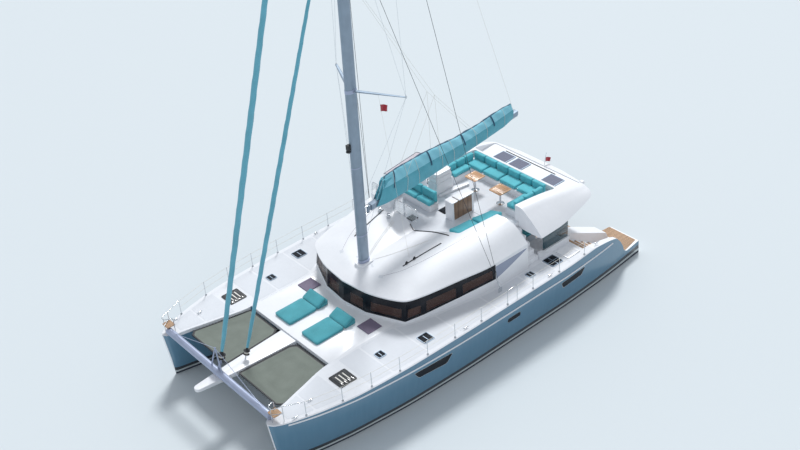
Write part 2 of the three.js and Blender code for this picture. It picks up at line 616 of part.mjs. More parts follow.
// Aft bulkhead with the fixed pane and the sliding door on its aft face
const DOOR = { width: 1560, low: SOLE_Z + 40, high: 3020, from: -60, thick: 40, run: 6 };
const [footHalf, browHalf] = [1, 3].map((column) => SALOON_ROWS.at(-1)[column] - WALL - 12);
const bulkheadTop = browZ(BULKHEAD_X + WALL) - GAP;
const bulkhead = prism('yz', [[-SIDE_Y, SOLE_Z + GAP], [SIDE_Y, SOLE_Z + GAP], [SIDE_Y, DECK_Z + GAP],
  [footHalf, DECK_Z + GAP], [browHalf, bulkheadTop], [-browHalf, bulkheadTop],
  [-footHalf, DECK_Z + GAP], [-SIDE_Y, DECK_Z + GAP]], [BULKHEAD_X, BULKHEAD_X + WALL]);
const doorway = box([-4000, -3000], [DOOR.from, DOOR.from + DOOR.width - 60], [DOOR.low, DOOR.high - 40]);
const fixedPane = [[-1600, DOOR.from - 80], [DOOR.low, DOOR.high - 40]];
const track = box([BULKHEAD_X - 60, BULKHEAD_X + 10], [-1700, DOOR.from + DOOR.width + 40],
  [DOOR.high + 5, DOOR.high + 35]);
add('bulkhead', bulkhead.subtract(doorway).subtract(box([-4000, -3000], ...fixedPane)).add(track), GELCOAT);
const paneRange = fixedPane.map(([low, high]) => [low + GAP, high - GAP]);
add('bulkhead_pane', box([BULKHEAD_X + 20, BULKHEAD_X + 32], ...paneRange), GLASS);
add('sliding_door', box([-DOOR.thick, 0], [0, DOOR.width], [DOOR.low, DOOR.high + 4.5]), GLASS,
  [BULKHEAD_X - DOOR.run, DOOR.from - 20, 0]);

// Saloon furniture seen through the panes. Columns: range of x, of y and of z
const SETTEE = [
  [[-1900, 700], [1500, 2200], [SOLE_Z + GAP, 1620]],
  [[-1900, 700], [2050, 2300], [1600, 2000]],
  [[-1900, -1250], [700, 1600], [SOLE_Z + GAP, 1620]],
];
const GALLEY = [[[-2300, 900], [-2300, -1650], [SOLE_Z + GAP, 2110]]];
const boxes = (rows) => union(rows.map((ranges) => box(...ranges)));
add('settee', boxes(SETTEE), CANVAS);
add('galley', boxes(GALLEY), WOOD);

// Coach roof: ribs from the port aft corner round to the centre of the brow
// Columns: outer x and y, shoulder x, y, z, ridge x, y, z, centre x and z
const ROOF_ROWS = [
  [2940, 0, 2600, 0, 3170, 2250, 0, 3250, MAST_X, 3280],
  [2810, 1160, 2480, 1060, 3180, 1950, 850, 3330, 1500, 3340],
  [2140, 2660, 1850, 2300, 3230, 1350, 1500, 3430, 1000, 3400],
  [1500, 2900, 1250, 2500, 3330, 900, 1620, 3520, 600, 3440],
  [0, 3200, 0, 2660, 3520, -150, 1760, 3690, -100, 3480],
  [-1620, 3480, -1600, 2880, 3720, -1600, 2020, 3880, -1500, 3500],
  [BULKHEAD_X + 40, 3510, BULKHEAD_X + 150, 2920, 3870, BULKHEAD_X + 190, 2330, 4010, BULKHEAD_X + GAP, 3500],
];
const LIP = 55;
function roofRib([ox, oy, sx, sy, sz, rx, ry, rz, cx, cz]) {
  return [[cx, -1, browZ(cx)], [ox, oy - 1, browZ(ox)], [ox, oy - 1, browZ(ox) + LIP],
    [sx, sy - 1, sz], [rx, ry - 1, rz], [cx, -1, cz]];
}
const roofHalf = loft(ROOF_ROWS.map(roofRib));
const roofWhole = roofHalf.add(solidOf(geometryOf(roofHalf, -1)));
const MAST_STEP = { length: 660, width: 460, root: 3100 };
const mastStep = box([MAST_X - MAST_STEP.length / 2, MAST_X + MAST_STEP.length / 2],
  [-MAST_STEP.width / 2, MAST_STEP.width / 2], [MAST_STEP.root, MAST_FOOT_Z]);

// Flybridge well in the roof, wider to starboard, where a raised coaming shelters the helm
const FLY_WELL = [[-680, 0], [-1270, 1430], [-1350, 1780], [-3500, 2080], [-3500, -2080],
  [-2700, -2080], [-2600, -2660], [-900, -2590], [-900, -700]];
const HELM_COAMING_Z = 4040;
const HELM_COAMING = [[-740, -1500], [-720, -2690], [-2680, -2780], [-2780, -2000], [-2000, -1500]];
const helmCoaming = prism('xy', HELM_COAMING, [FLY_FLOOR_Z - 50, HELM_COAMING_Z]);
const coachroof = union([roofWhole, mastStep, helmCoaming])
  .subtract(prism('xy', FLY_WELL, [FLY_FLOOR_Z, 5000]));
add('coachroof', coachroof, GELCOAT);

// Hardtop over the cockpit. Columns: x, edge y, edge height, ridge y, ridge height, underside height
const HARDTOP_ROWS = [
  [BULKHEAD_X - GAP, 3560, 3140, 2420, 4030, HARDTOP_UNDER_Z],
  [-5000, 3520, 3150, 2580, 3960, HARDTOP_UNDER_Z],
  [-6300, 3330, 3220, 2680, 3800, HARDTOP_UNDER_Z],
  [-7100, 3150, 3280, 2660, 3620, HARDTOP_UNDER_Z + 70],
  [-7500, 2950, 3300, 2560, 3520, HARDTOP_UNDER_Z + 120],
  [-7760, 1500, 3340, 1300, 3470, HARDTOP_UNDER_Z + 190],
];
function hardtopRing([x, edge, edgeZ, ridge, ridgeZ, under]) {
  const half = [[edge - 250, under], [edge, edgeZ - 50], [edge, edgeZ],
    [ridge + 60, ridgeZ - 60], [ridge - 60, ridgeZ]];
  const other = half.map(([y, z]) => [-y, z]).reverse();
  return [...half, ...other].map(([y, z]) => [x, y, z]);
}
const slotRange = [[SLOT_AFT_X, -3000], [2300, 4000], [2900, 4600]];
const slot = box(...slotRange).add(box(slotRange[0], [-4000, -2300], slotRange[2]));
// Half outline of the sofa's well. Columns: x, y
const SOFA_WELL = [[-3000, 0], [-3000, 2060], [-4000, 2120], [-6120, 2250]];
const sofaWell = prism('xy', fullRing(SOFA_WELL.map(([x, y]) => [x, y, 0])).map(([x, y]) => [x, y]),
  [FLY_FLOOR_Z, 5000]);
const gangway = box([SLOT_AFT_X, -3000], [-3000, 3000], [FLY_FLOOR_Z, 5000]);
const SOLAR_WELL = { aft: -7460, fore: -6240, half: 2400 };
const solarWell = box([SOLAR_WELL.aft, SOLAR_WELL.fore], [-SOLAR_WELL.half, SOLAR_WELL.half],
  [SOLAR_DECK_Z, 5000]);

// Flybridge sofa base, solar panels and the posts to the decks belong to the hardtop moulding
const SEAT_BASE_Z = 3600;
const SEAT_TOP_Z = 3750;
const SOFA = { back: -5960, front: -5200, armFront: -4100, starboardFront: -4200, inner: 1480, outer: 2060 };
const PANEL = 740;
const SOLAR_PANELS = [[-6840, -1290], [-6840, -420], [-6840, 1430]];
function sofaOutline(inset, end = 0) {
  const { back, front, armFront, starboardFront, inner, outer } = SOFA;
  return [
    [armFront - end, inner], [armFront - end, outer - inset], [back + inset, outer - inset],
    [back + inset, inset - outer], [starboardFront - end, inset - outer], [starboardFront - end, -inner],
    [front, -inner], [front, inner],
  ];
}
const sofaBase = prism('xy', sofaOutline(-40), [FLY_FLOOR_Z - 20, SEAT_BASE_Z]);
const panels = SOLAR_PANELS.map(([x, y]) => box([x - PANEL / 2, x + PANEL / 2], [y - PANEL / 2, y + PANEL / 2],
  [SOLAR_DECK_Z - 10, SOLAR_DECK_Z + 35]));
const COLUMN = { x: [-6080, -5880], y: 2680, half: 80 };
const posts = [COLUMN.y, -COLUMN.y].map((y) => box(
  COLUMN.x, [y - COLUMN.half, y + COLUMN.half], [DECK_Z + GAP, HARDTOP_UNDER_Z + 50]));
const hardtop = loft(HARDTOP_ROWS.map(hardtopRing)).subtract(slot).subtract(sofaWell)
  .subtract(gangway).subtract(solarWell).add(union([sofaBase, ...panels, ...posts]));
add('hardtop', hardtop, GELCOAT);
const sofaBack = prism('xy', sofaOutline(10, 10), [SEAT_BASE_Z + GAP, 4000])
  .subtract(prism('xy', sofaOutline(190, -20), [SEAT_TOP_Z, 5000]));
add('sofa_cushions', sofaBack, TURQUOISE);

// Stairs from the side deck to the flybridge in the slot on each side
const STAIR = { outer: 3380, inner: 2330, treads: 6, aft: SLOT_AFT_X + 40, fore: BULKHEAD_X - 110, wall: 60 };
const RECESS = { width: 700, height: 800 };
function stairs() {
  const rise = (FLY_FLOOR_Z - DECK_Z) / STAIR.treads;
  const run = (STAIR.outer - STAIR.inner) / (STAIR.treads - 1);
  const outline = [[STAIR.inner, DECK_Z + GAP], [STAIR.outer, DECK_Z + GAP]];
  for (let k = 1; k < STAIR.treads; k += 1) {
    const y = STAIR.outer - (k - 1) * run;
    outline.push([y, DECK_Z + k * rise], [y - run, DECK_Z + k * rise]);
  }
  const foot = [[STAIR.inner, DECK_Z + GAP], [STAIR.inner + RECESS.width, DECK_Z + GAP],
    [STAIR.inner, DECK_Z + RECESS.height]];
  return prism('yz', outline, [STAIR.aft, STAIR.fore])
    .subtract(prism('yz', foot.map(([y, z]) => [y - 1, z - 1]),
      [STAIR.aft + STAIR.wall, STAIR.fore - STAIR.wall]));
}
addPair('stairs', stairs(), GELCOAT);

// Tinted screen on each cockpit coaming
const SCREEN = { x: [-5700, -4300], y: [3290, 3330] };
addPair('side_screen', box(SCREEN.x, SCREEN.y, [COAMING_Z + GAP, HARDTOP_UNDER_Z - 2 * GAP]), TINT);

// Flybridge fittings. Two tables, the bar, the fridge tower, the bench and helm seat cushions
const TABLE = { top: 3980, thick: 35, leg: 45, foot: 170, footThick: 22 };
function flyTable(x, y, size) {
  const half = size / 2;
  const top = box([x - half, x + half], [y - half, y + half], [TABLE.top - TABLE.thick, TABLE.top]);
  const leg = bar([x, y, FLY_FLOOR_Z + 10], [x, y, TABLE.top - TABLE.thick + 5], TABLE.leg, 12);
  const foot = bar([x, y, FLY_FLOOR_Z + GAP], [x, y, FLY_FLOOR_Z + TABLE.footThick], TABLE.foot, 16);
  return union([top, leg, foot]);
}
// Columns: side, x, y, size
[['port', -4450, 880, 640], ['starboard', -4470, -560, 600]].forEach(([side, ...table]) => {
  add(`fly_table_${side}`, flyTable(...table), WOOD);
});
// Columns: range of x, of y and of z
const BAR = [
  [[-3430, -2270], [50, 440], [FLY_FLOOR_Z + GAP, 4110]],
  [[-3450, -2640], [30, 460], [4060, 4150]],
  [[-2580, -2250], [30, 460], [4060, 4150]],
];
const TOWER = [
  [[-3950, -3050], [-1850, -1280], [FLY_FLOOR_Z + GAP, 3900]],
  [[-3930, -3080], [-1820, -1310], [3890, 4300]],
];
const HELM_SEAT = [
  [[-2400, -2040], [-2300, -640], [FLY_FLOOR_Z + GAP, SEAT_TOP_Z]],
  [[-2560, -2400], [-2300, -640], [FLY_FLOOR_Z + GAP, 4120]],
];
add('bar', boxes(BAR), GELCOAT);
add('fridge_tower', boxes(TOWER), GELCOAT);
add('helm_seat', boxes(HELM_SEAT), TURQUOISE);
// Corners of the bench. Columns: x, y
const BENCH = [[-1300, 1180], [-1370, 1755], [-3160, 2005], [-3620, 1900], [-3660, 1640], [-3260, 1340]];
add('bench_cushion', prism('xy', BENCH, [FLY_FLOOR_Z + GAP, SEAT_TOP_Z + 20]), TURQUOISE);

// Helm console and its wheel, whose shaft turns in the console
const HELM = { x: -1240, y: -2080, z: 4180, tilt: 0.2, rim: 350, tube: 16, spokes: 5 };
const helmAxis = [-Math.cos(HELM.tilt), 0, Math.sin(HELM.tilt)];
const onHelmAxis = (distance) => [HELM.x, HELM.y, HELM.z].map((start, k) => start + helmAxis[k] * distance);
// Side view of the console. Columns: x, z
const CONSOLE = [[-905, FLY_FLOOR_Z + GAP], [-1140, FLY_FLOOR_Z + GAP], [-1220, 3950], [-1160, 4300],
  [-960, 4370], [-905, 4200]];
const CONSOLE_REACH = [-420, 400];
const helmConsole = prism('xz', CONSOLE, CONSOLE_REACH.map((reach) => HELM.y + reach))
  .subtract(bar(onHelmAxis(60), onHelmAxis(-140), 15, 24));
add('helm_console', helmConsole, GELCOAT);
function wheel() {
  const rim = new THREE.TorusGeometry(HELM.rim, HELM.tube, 8, 28).rotateY(Math.PI / 2).translate(-110, 0, 0);
  const spokes = Array.from({ length: HELM.spokes }, (_, k) => {
    const angle = (2 * Math.PI * k) / HELM.spokes;
    return bar([-90, 0, 0], [-110, HELM.rim * Math.sin(angle), HELM.rim * Math.cos(angle)], 11);
  });
  const shaft = bar([110, 0, 0], [-95, 0, 0], 14, 24);
  const hub = bar([-75, 0, 0], [-112, 0, 0], 45, 16, 30);
  return union([solidOf(rim), ...spokes, shaft, hub]);
}
const tilted = solidOf(geometryOf(wheel()).rotateY(HELM.tilt));
add('steering_wheel', tilted, STEEL, [HELM.x, HELM.y, HELM.z]);

// Bimini over the helm: canvas top on its frame of tube, wider aft
// Columns: x, y and height of the foot, x and y of the head
const BIMINI_LEGS = [[-820, -1860, HELM_COAMING_Z, -1000, -1860], [-2724, -2150, HELM_COAMING_Z, -2800, -2150],
  [-1060, -1000, FLY_FLOOR_Z, -1010, -960], [-2680, -1000, FLY_FLOOR_Z, -2850, -960]];
const BIMINI = {
  fore: -950, aft: -2900, inner: -900, foreOuter: -1950, aftOuter: -2230, z: 5100, rise: 90, thick: 25, tube: 18,
};
function biminiTop(x) {
  const { fore, aft, inner, foreOuter, aftOuter, z, rise } = BIMINI;
  const outer = mix(foreOuter, aftOuter, (x - fore) / (aft - fore));
  const middle = (inner + outer) / 2;
  const heightAt = (y) => z + rise * (1 - Math.abs((y - middle) / (inner - middle)));
  return { outer, middle, heightAt };
}
function bimini() {
  const { fore, aft, inner, thick, tube } = BIMINI;
  const ring = (x) => {
    const { outer, middle, heightAt } = biminiTop(x);
    const upper = [inner, middle, outer].map((y) => [x, y, heightAt(y)]);
    return [...upper, ...upper.map(([, y, height]) => [x, y, height - thick]).reverse()];
  };
  // Each leg ends level on its foot
  const legs = BIMINI_LEGS.map(([x, y, foot, headX, headY]) => bar(
    [x, y, foot - tube], [headX, headY, biminiTop(headX).heightAt(headY) - thick / 2], tube,
  ).subtract(box([x - 2 * tube, x + 2 * tube], [y - 2 * tube, y + 2 * tube], [foot - 4 * tube, foot + GAP])));
  return union([loft([ring(fore), ring(aft)]), ...legs]);
}
add('bimini', bimini(), CANVAS);

// Sunpads on the foredeck, with raised headrests aft. Columns of the side view: x, z
const SUNPAD = [[3400, DECK_Z + GAP], [5300, DECK_Z + GAP], [5300, 2160], [3950, 2160], [3580, 2390],
  [3440, 2390]];
const SUNPAD_Y = [300, 1320];
addPair('sunpad', prism('xz', SUNPAD, SUNPAD_Y), TURQUOISE);

// Cockpit sofa and table under the hardtop. Columns: range of x, of y and of z
const COCKPIT_SOFA = [
  [[-5750, -5200], [-1500, 1500], [SOLE_Z + GAP, 1640]],
  [[-5850, -5650], [-1500, 1500], [SOLE_Z + GAP, 2050]],
  [[-5300, -4200], [-1500, -950], [SOLE_Z + GAP, 1640]],
];
const COCKPIT_TABLE = [
  [[-5050, -4350], [-750, 950], [1890, 1930]],
  [[-4780, -4620], [-60, 260], [SOLE_Z + GAP, 1900]],
];
add('cockpit_sofa', boxes(COCKPIT_SOFA), TURQUOISE);
add('cockpit_table', boxes(COCKPIT_TABLE), WOOD);

// Lifting platform on its two sleeves, which run on the guide posts
const SLEEVE = { wall: 50, below: 250, above: 350, clear: 15 };
function platform() {
  const deck = box([LIFT.aft, LIFT.fore], [-LIFT.half, LIFT.half], [LIFT.top - LIFT.thick, LIFT.top]);
  const back = COCKPIT_AFT_X - POST.depth - SLIDE_PLAY;
  const carriers = [-1, 1].map((side) => {
    const y = side * LIFT.railY;
    const grip = POST.half + SLIDE_PLAY;
    const sleeve = box([LIFT.fore - 5, COCKPIT_AFT_X - SLEEVE.clear],
      [y - grip - SLEEVE.wall, y + grip + SLEEVE.wall], [LIFT.top - SLEEVE.below, LIFT.top + SLEEVE.above]);
    return sleeve.subtract(box([back, COCKPIT_AFT_X + 50], [y - grip, y + grip], [-1000, 3000]));
  });
  return union([deck, ...carriers]);
}
add('stern_platform', platform(), TEAK);

// Mast with two pairs of spreaders, the stay tangs and the gooseneck pin
const mastX = (z) => MAST_X - MAST_RAKE * (z - MAST_FOOT_Z);
// Columns: height, reach, sweep
const SPREADERS = [[10400, 1870, 870], [18200, 1500, 700]];
const SPREADER = { root: 55, tip: 32, rise: 60 };
// Columns of the mast's sections: height, share of the full section
const MAST_SECTIONS = [[21000, 1], [MAST_TOP_Z, 0.62]];
const PIN = { radius: 22, lug: 150, thick: 25, lugHalf: 50, lugFore: 45 };
function tangOf(sail) {
  const [x, , z] = onStay(sail, stayLength(sail) + 60);
  const plate = prism('xz',
    [[mastX(z), z - 40], [mastX(z), z + 160], [x + 15, z + 30], [x + 15, z - 25]], [-15, 15]);
  return plate.add(staySeat(sail, stayLength(sail) + GAP, stayLength(sail) + 80));
}
function mastRing(z, scale) {
  return Array.from({ length: 16 }, (_, k) => {
    const angle = (2 * Math.PI * k) / 16;
    const [chord, width] = [MAST_CHORD * scale, MAST_WIDTH * scale];
    return [mastX(z) + 0.5 * chord * Math.cos(angle), 0.5 * width * Math.sin(angle), z];
  });
}
function mast() {
  const tube = loft([mastRing(MAST_FOOT_Z + GAP, 1), ...MAST_SECTIONS.map((section) => mastRing(...section))]);
  const arms = SPREADERS.flatMap(([z, reach, sweep]) => [-1, 1].map((side) => bar(
    [mastX(z), 0, z], [mastX(z) - sweep, side * reach, z + SPREADER.rise], SPREADER.root, 8, SPREADER.tip)));
  const lugs = [-PIN.lug, PIN.lug].map((offset) => box([GOOSENECK.x - PIN.lugFore, mastX(GOOSENECK.z)],
    [-PIN.lugHalf, PIN.lugHalf], [GOOSENECK.z + offset - PIN.thick / 2, GOOSENECK.z + offset + PIN.thick / 2]));
  const [low, high] = [-PIN.lug, PIN.lug].map((offset) => [GOOSENECK.x, 0, GOOSENECK.z + offset]);
  const pin = bar(low, high, PIN.radius, 24);
  return union([tube, ...arms, ...lugs, pin, tangOf(GENOA), tangOf(JIB)]);
}
add('mast', mast(), ALLOY);

// Boom on the gooseneck pin, and the sail bag astride it. Both are drawn from the pin
const boomRise = (BOOM_END.z - GOOSENECK.z) / (GOOSENECK.x - BOOM_END.x);
const boomZ = (x) => -x * boomRise;
const boomEndX = BOOM_END.x - GOOSENECK.x;
// Columns of the boom's section: shares of its half breadth and half height
const BOOM_SECTION = [[-1, -0.35], [-0.55, -1], [0.55, -1], [1, -0.35], [1, 1], [-1, 1]];
const EYE = { radius: 52, neck: [[-160, 0], [-45, 45], [-90, 100]], start: -110 };
function boom() {
  const ring = (x) => BOOM_SECTION.map(([y, z]) => [x, 0.5 * y * BOOM_WIDTH, boomZ(x) + 0.5 * z * BOOM_HEIGHT]);
  const pinBore = bar([0, 0, -PIN.lug], [0, 0, PIN.lug], PIN.radius + 1, 24);
  const reach = PIN.lug - PIN.thick;
  const eye = bar([0, 0, -reach], [0, 0, reach], EYE.radius, 24).add(box(...EYE.neck));
  return loft([ring(EYE.start), ring(boomEndX)]).add(eye).subtract(pinBore);
}
const goosenecked = [GOOSENECK.x, 0, GOOSENECK.z];
add('boom', boom(), ALLOY, goosenecked);

// Columns: x from the pin, half breadth, height over the boom's centre, drop below it, lean aft of the top
const BAG_ROWS = [[-330, 150, 860, 60, 560], [-950, 250, 900, 95, 300], [-2640, 275, 840, 115, 0],
  [-4640, 260, 610, 115, 0], [-5740, 240, 570, 110, 0], [-6840, 205, 600, 95, 0], [-7450, 120, 540, 60, 0]];
// Columns of the bag's side above the boom: share of the half breadth, share of the height
const BAG_SIDE = [[1, 0.35], [0.62, 0.76]];
function sailbag() {
  const slotHalf = BOOM_WIDTH / 2 + GAP;
  const slotTop = BOOM_HEIGHT / 2 + GAP;
  return loft(BAG_ROWS.map(([x, half, height, drop, lean]) => {
    const side = [[slotHalf, -drop], [half * 0.95, -drop], ...BAG_SIDE.map(([y, z]) => [y * half, z * height])];
    const other = side.map(([y, z]) => [-y, z]).reverse();
    return [...side, [0, height], ...other, [-slotHalf, slotTop], [slotHalf, slotTop]].map(([y, z]) => {
      const leaning = x - (lean * z) / height;
      return [leaning, y, boomZ(leaning) + z];
    });
  }));
}
add('sail_bag', sailbag(), SAILBAG, goosenecked);

// Furled foresails on their stays, each with its drum, turning about the stay. Drawn from the foot
function furled(sail) {
  const { foot, head, radius, drum } = sail;
  const length = stayLength(sail);
  // Columns: radius, distance from the foot. First the drum, then the roll, last the stay over it
  const profile = [
    [0, 0], [STAY_PIN, 0], [STAY_PIN, 60], [drum * 0.5, 60], [drum, 90], [drum, 240], [drum * 0.5, 270],
    [radius * 0.55, 360], [radius * 0.8, 1200], [radius, length * 0.35], [radius * 0.72, length * 0.75],
    [radius * 0.4, length - 420], [STAY_PIN, length - 330], [STAY_PIN, length], [0, length],
  ];
  const geometry = new THREE.LatheGeometry(profile.map(([r, z]) => new THREE.Vector2(r, z)), 14);
  const stay = new THREE.Vector3(head[0] - foot[0], 0, head[1] - foot[1]).normalize();
  const turn = new THREE.Quaternion().setFromUnitVectors(new THREE.Vector3(0, 1, 0), stay);
  return solidOf(geometry.applyQuaternion(turn));
}
[['genoa', GENOA], ['jib', JIB]].forEach(([name, sail]) => {
  add(name, furled(sail), FURL, [sail.foot[0], 0, sail.foot[1]]);
});

// Shrouds: cap and lower wire on each side, from one chainplate on the deck to the mast
const WIRE_RADIUS = 8;
const SHROUD_HEADS = [26400, 17000];
const PLATE = { height: 190, half: 90, halfThick: 12, pin: 160 };
const MAST_PLAY = 1.006;
function shrouds() {
  const { x, y } = CHAINPLATE;
  const wires = SHROUD_HEADS.map((z) => bar([x, y, DECK_Z + PLATE.pin], [mastX(z), 0, z], WIRE_RADIUS, 6));
  const foot = box([x - PLATE.half, x + PLATE.half], [y - PLATE.halfThick, y + PLATE.halfThick],
    [DECK_Z + GAP, DECK_Z + PLATE.height]);
  const clearMast = [[MAST_FOOT_Z, 1], ...MAST_SECTIONS].map(([z, scale]) => mastRing(z, scale * MAST_PLAY));
  return union([...wires, foot]).subtract(loft(clearMast));
}
addPair('shrouds', shrouds(), WIRE);

export default catamaran;
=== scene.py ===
"""Looks of a sailing catamaran afloat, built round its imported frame.

Metres, +X to the bows, +Y to port, +Z up. The origin is amidships on the centre plane, at the waterline.
"""

import logging
import math
from dataclasses import dataclass, field
from enum import Enum, IntEnum
from functools import lru_cache
from typing import Any, Callable, Iterable, Optional, Sequence, Union

import bmesh
import bpy
import numpy as np
from mathutils.bvhtree import BVHTree
from mathutils import Matrix, Vector


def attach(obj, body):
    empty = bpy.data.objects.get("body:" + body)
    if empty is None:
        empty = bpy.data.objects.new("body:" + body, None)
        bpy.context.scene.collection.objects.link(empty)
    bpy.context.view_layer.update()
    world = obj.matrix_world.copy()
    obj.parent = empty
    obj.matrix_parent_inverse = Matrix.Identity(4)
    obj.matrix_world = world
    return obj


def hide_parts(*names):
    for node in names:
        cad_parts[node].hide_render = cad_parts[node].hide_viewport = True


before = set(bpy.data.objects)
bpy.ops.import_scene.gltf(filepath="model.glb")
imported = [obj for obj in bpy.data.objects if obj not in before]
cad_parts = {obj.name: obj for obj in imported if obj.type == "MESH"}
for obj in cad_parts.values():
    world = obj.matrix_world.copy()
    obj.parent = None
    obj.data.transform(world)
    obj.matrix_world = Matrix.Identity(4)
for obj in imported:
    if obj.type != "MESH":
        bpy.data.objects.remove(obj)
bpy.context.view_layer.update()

logging.basicConfig(level=logging.INFO, format="%(message)s")
LOG = logging.getLogger("catamaran")

Point = Sequence[float]
Color = tuple[float, float, float]
Piece = bpy.types.Object
Socket = bpy.types.NodeSocket
Tree = bpy.types.NodeTree
ROOT = "vessel"
SIDES = {"port": 1.0, "starboard": -1.0}
UP = (0, 0, 1)


class Axis(IntEnum):
    """The three axes of the frame."""

    X = 0
    Y = 1
    Z = 2


class Cut(Enum):
    """What a closed form does to a piece, by Blender's name of it."""

    AWAY = "DIFFERENCE"
    ON = "UNION"


def srgb(red: int, green: int, blue: int) -> Color:
    """Linear colour from the 0 to 255 values that a screen shows."""
    values = [channel / 255 for channel in (red, green, blue)]
    return tuple(v / 12.92 if v <= 0.04045 else ((v + 0.055) / 1.055) ** 2.4 for v in values)


# Nodes and shader maths

def plug(tree: Tree, socket: Socket, value: Any) -> None:
    """Links a term or an output to an input, or sets a constant on it.

    Args:
        tree: the tree.
        socket: the input.
        value: a term, an output, a number, a colour or a vector.
    """
    value = getattr(value, "socket", value)
    if isinstance(value, Socket):
        tree.links.new(value, socket)
    elif isinstance(value, (tuple, list)) and socket.type == "RGBA":
        socket.default_value = (*value[:3], 1.0)
    else:
        socket.default_value = value


def add_node(tree: Tree, kind: str, settings: Optional[dict] = None, values: Optional[dict] = None,
             output: Union[int, str] = 0) -> Socket:
    """Adds any node to a tree.

    Args:
        tree: the tree.
        kind: the node's type.
        settings: attributes that are set first.
        values: terms, outputs or constants for its sockets, by name or number.
        output: the socket that is returned, by name or number.

    Returns:
        That output.
    """
    node = tree.nodes.new(kind)
    for key, value in (settings or {}).items():
        setattr(node, key, value)
    for key, value in (values or {}).items():
        plug(tree, node.inputs[key], value)
    return node.outputs[output]


def math_method(operation: str, swapped: bool = False) -> Callable[..., "Term"]:
    """A method that adds one Math node on a term and another value.

    Args:
        operation: Blender's name of the operation.
        swapped: whether the other value comes first.

    Returns:
        The method.
    """
    def method(self: "Term", other: Any = 0.0) -> "Term":
        """The result of the node."""
        first, second = (other, self) if swapped else (self, other)
        return Term(self.tree, add_node(self.tree, "ShaderNodeMath", {"operation": operation}, {0: first, 1: second}))

    return method


class Term:
    """A shader socket whose arithmetic adds Math nodes to its tree."""

    def __init__(self, tree: Tree, socket: Socket) -> None:
        """Keeps the tree and the output that holds the value."""
        self.tree, self.socket = tree, socket

    __add__ = __radd__ = math_method("ADD")
    __sub__, __rsub__ = math_method("SUBTRACT"), math_method("SUBTRACT", True)
    __mul__ = __rmul__ = math_method("MULTIPLY")
    __truediv__, __abs__ = math_method("DIVIDE"), math_method("ABSOLUTE")
    sine, most = math_method("SINE"), math_method("MAXIMUM")
    fract, floor = math_method("FRACT"), math_method("FLOOR")

    def over(self, edge: float, width: float = 0.001) -> "Term":
        """Mask that rises from 0 to 1 as the term passes an edge.

        Args:
            edge: the value at the middle of the rise.
            width: how far the rise reaches.

        Returns:
            The mask, held between 0 and 1.
        """
        values = dict(enumerate((self, edge - width / 2, edge + width / 2, 0.0, 1.0)))
        return Term(self.tree, add_node(self.tree, "ShaderNodeMapRange", values=values))


class Surface:
    """A material under construction: one Principled shader and the nodes that feed it."""

    def __init__(self, name: str) -> None:
        """Makes the material with its shader and output.

        Args:
            name: its name.
        """
        self.material = bpy.data.materials.new(name)
        self.material.use_nodes = True
        self.tree = self.material.node_tree
        self.tree.nodes.clear()
        self.shader = self.tree.nodes.new("ShaderNodeBsdfPrincipled")
        output = self.tree.nodes.new("ShaderNodeOutputMaterial")
        self.tree.links.new(self.shader.outputs[0], output.inputs[0])

    def node(self, kind: str, *given: Any, **named: Any) -> Term:
        """The output of a new node as a term, from what add_node takes."""
        return Term(self.tree, add_node(self.tree, kind, *given, **named))

    def place(self) -> Term:
        """Position on the object, in metres."""
        return self.node("ShaderNodeTexCoord", output="Object")

    def axes(self) -> list[Term]:
        """The three coordinates of the position."""
        split = self.node("ShaderNodeSeparateXYZ", values={0: self.place()})
        return [Term(self.tree, socket) for socket in split.socket.node.outputs]

    def noise(self, scale: float, detail: float = 2.0, stretch: Point = (1.0, 1.0, 1.0)) -> Term:
        """Smooth pattern about a half, by its changes in a metre, its finer layers and a factor on each axis."""
        vector = self.node("ShaderNodeVectorMath", {"operation": "MULTIPLY"}, {0: self.place(), 1: stretch})
        return self.node("ShaderNodeTexNoise", values={"Vector": vector, "Scale": scale, "Detail": detail})

    def mix(self, mask: Any, low: Any, high: Any) -> Term:
        """Colour that goes from one to another by a mask."""
        return self.node("ShaderNodeMix", {"data_type": "RGBA"}, {0: mask, 6: low, 7: high}, 2)

    def feed(self, **sockets: Any) -> None:
        """Sets or links the shader's sockets, whose names are written with underscores."""
        for key, value in sockets.items():
            plug(self.tree, self.shader.inputs[key.replace("_", " ")], value)

    def relief(self, height: Term, depth: float, strength: float = 1.0) -> None:
        """Bumps the surface by a height pattern: how deep a full step of it is, and its share."""
        values = {"Height": height, "Distance": depth, "Strength": strength}
        self.feed(Normal=self.node("ShaderNodeBump", values=values))


# Finishes

@dataclass(frozen=True)
class Finish:
    """A plain matt finish. Each kind below shades its main colour in its own way."""

    name: str
    color: Color

    def tone(self, factor: float, lift: float = 0.0) -> Color:
        """The main colour, darker or lighter."""
        return tuple(min(1.0, c * factor + lift) for c in self.color)

    def shade(self, surface: Surface) -> None:
        """Feeds the surface's shader."""
        surface.feed(Base_Color=self.color, Roughness=0.8)

    def material(self) -> bpy.types.Material:
        """Builds the node material.

        Returns:
            The material.
        """
        surface = Surface(self.name)
        self.shade(surface)
        return surface.material


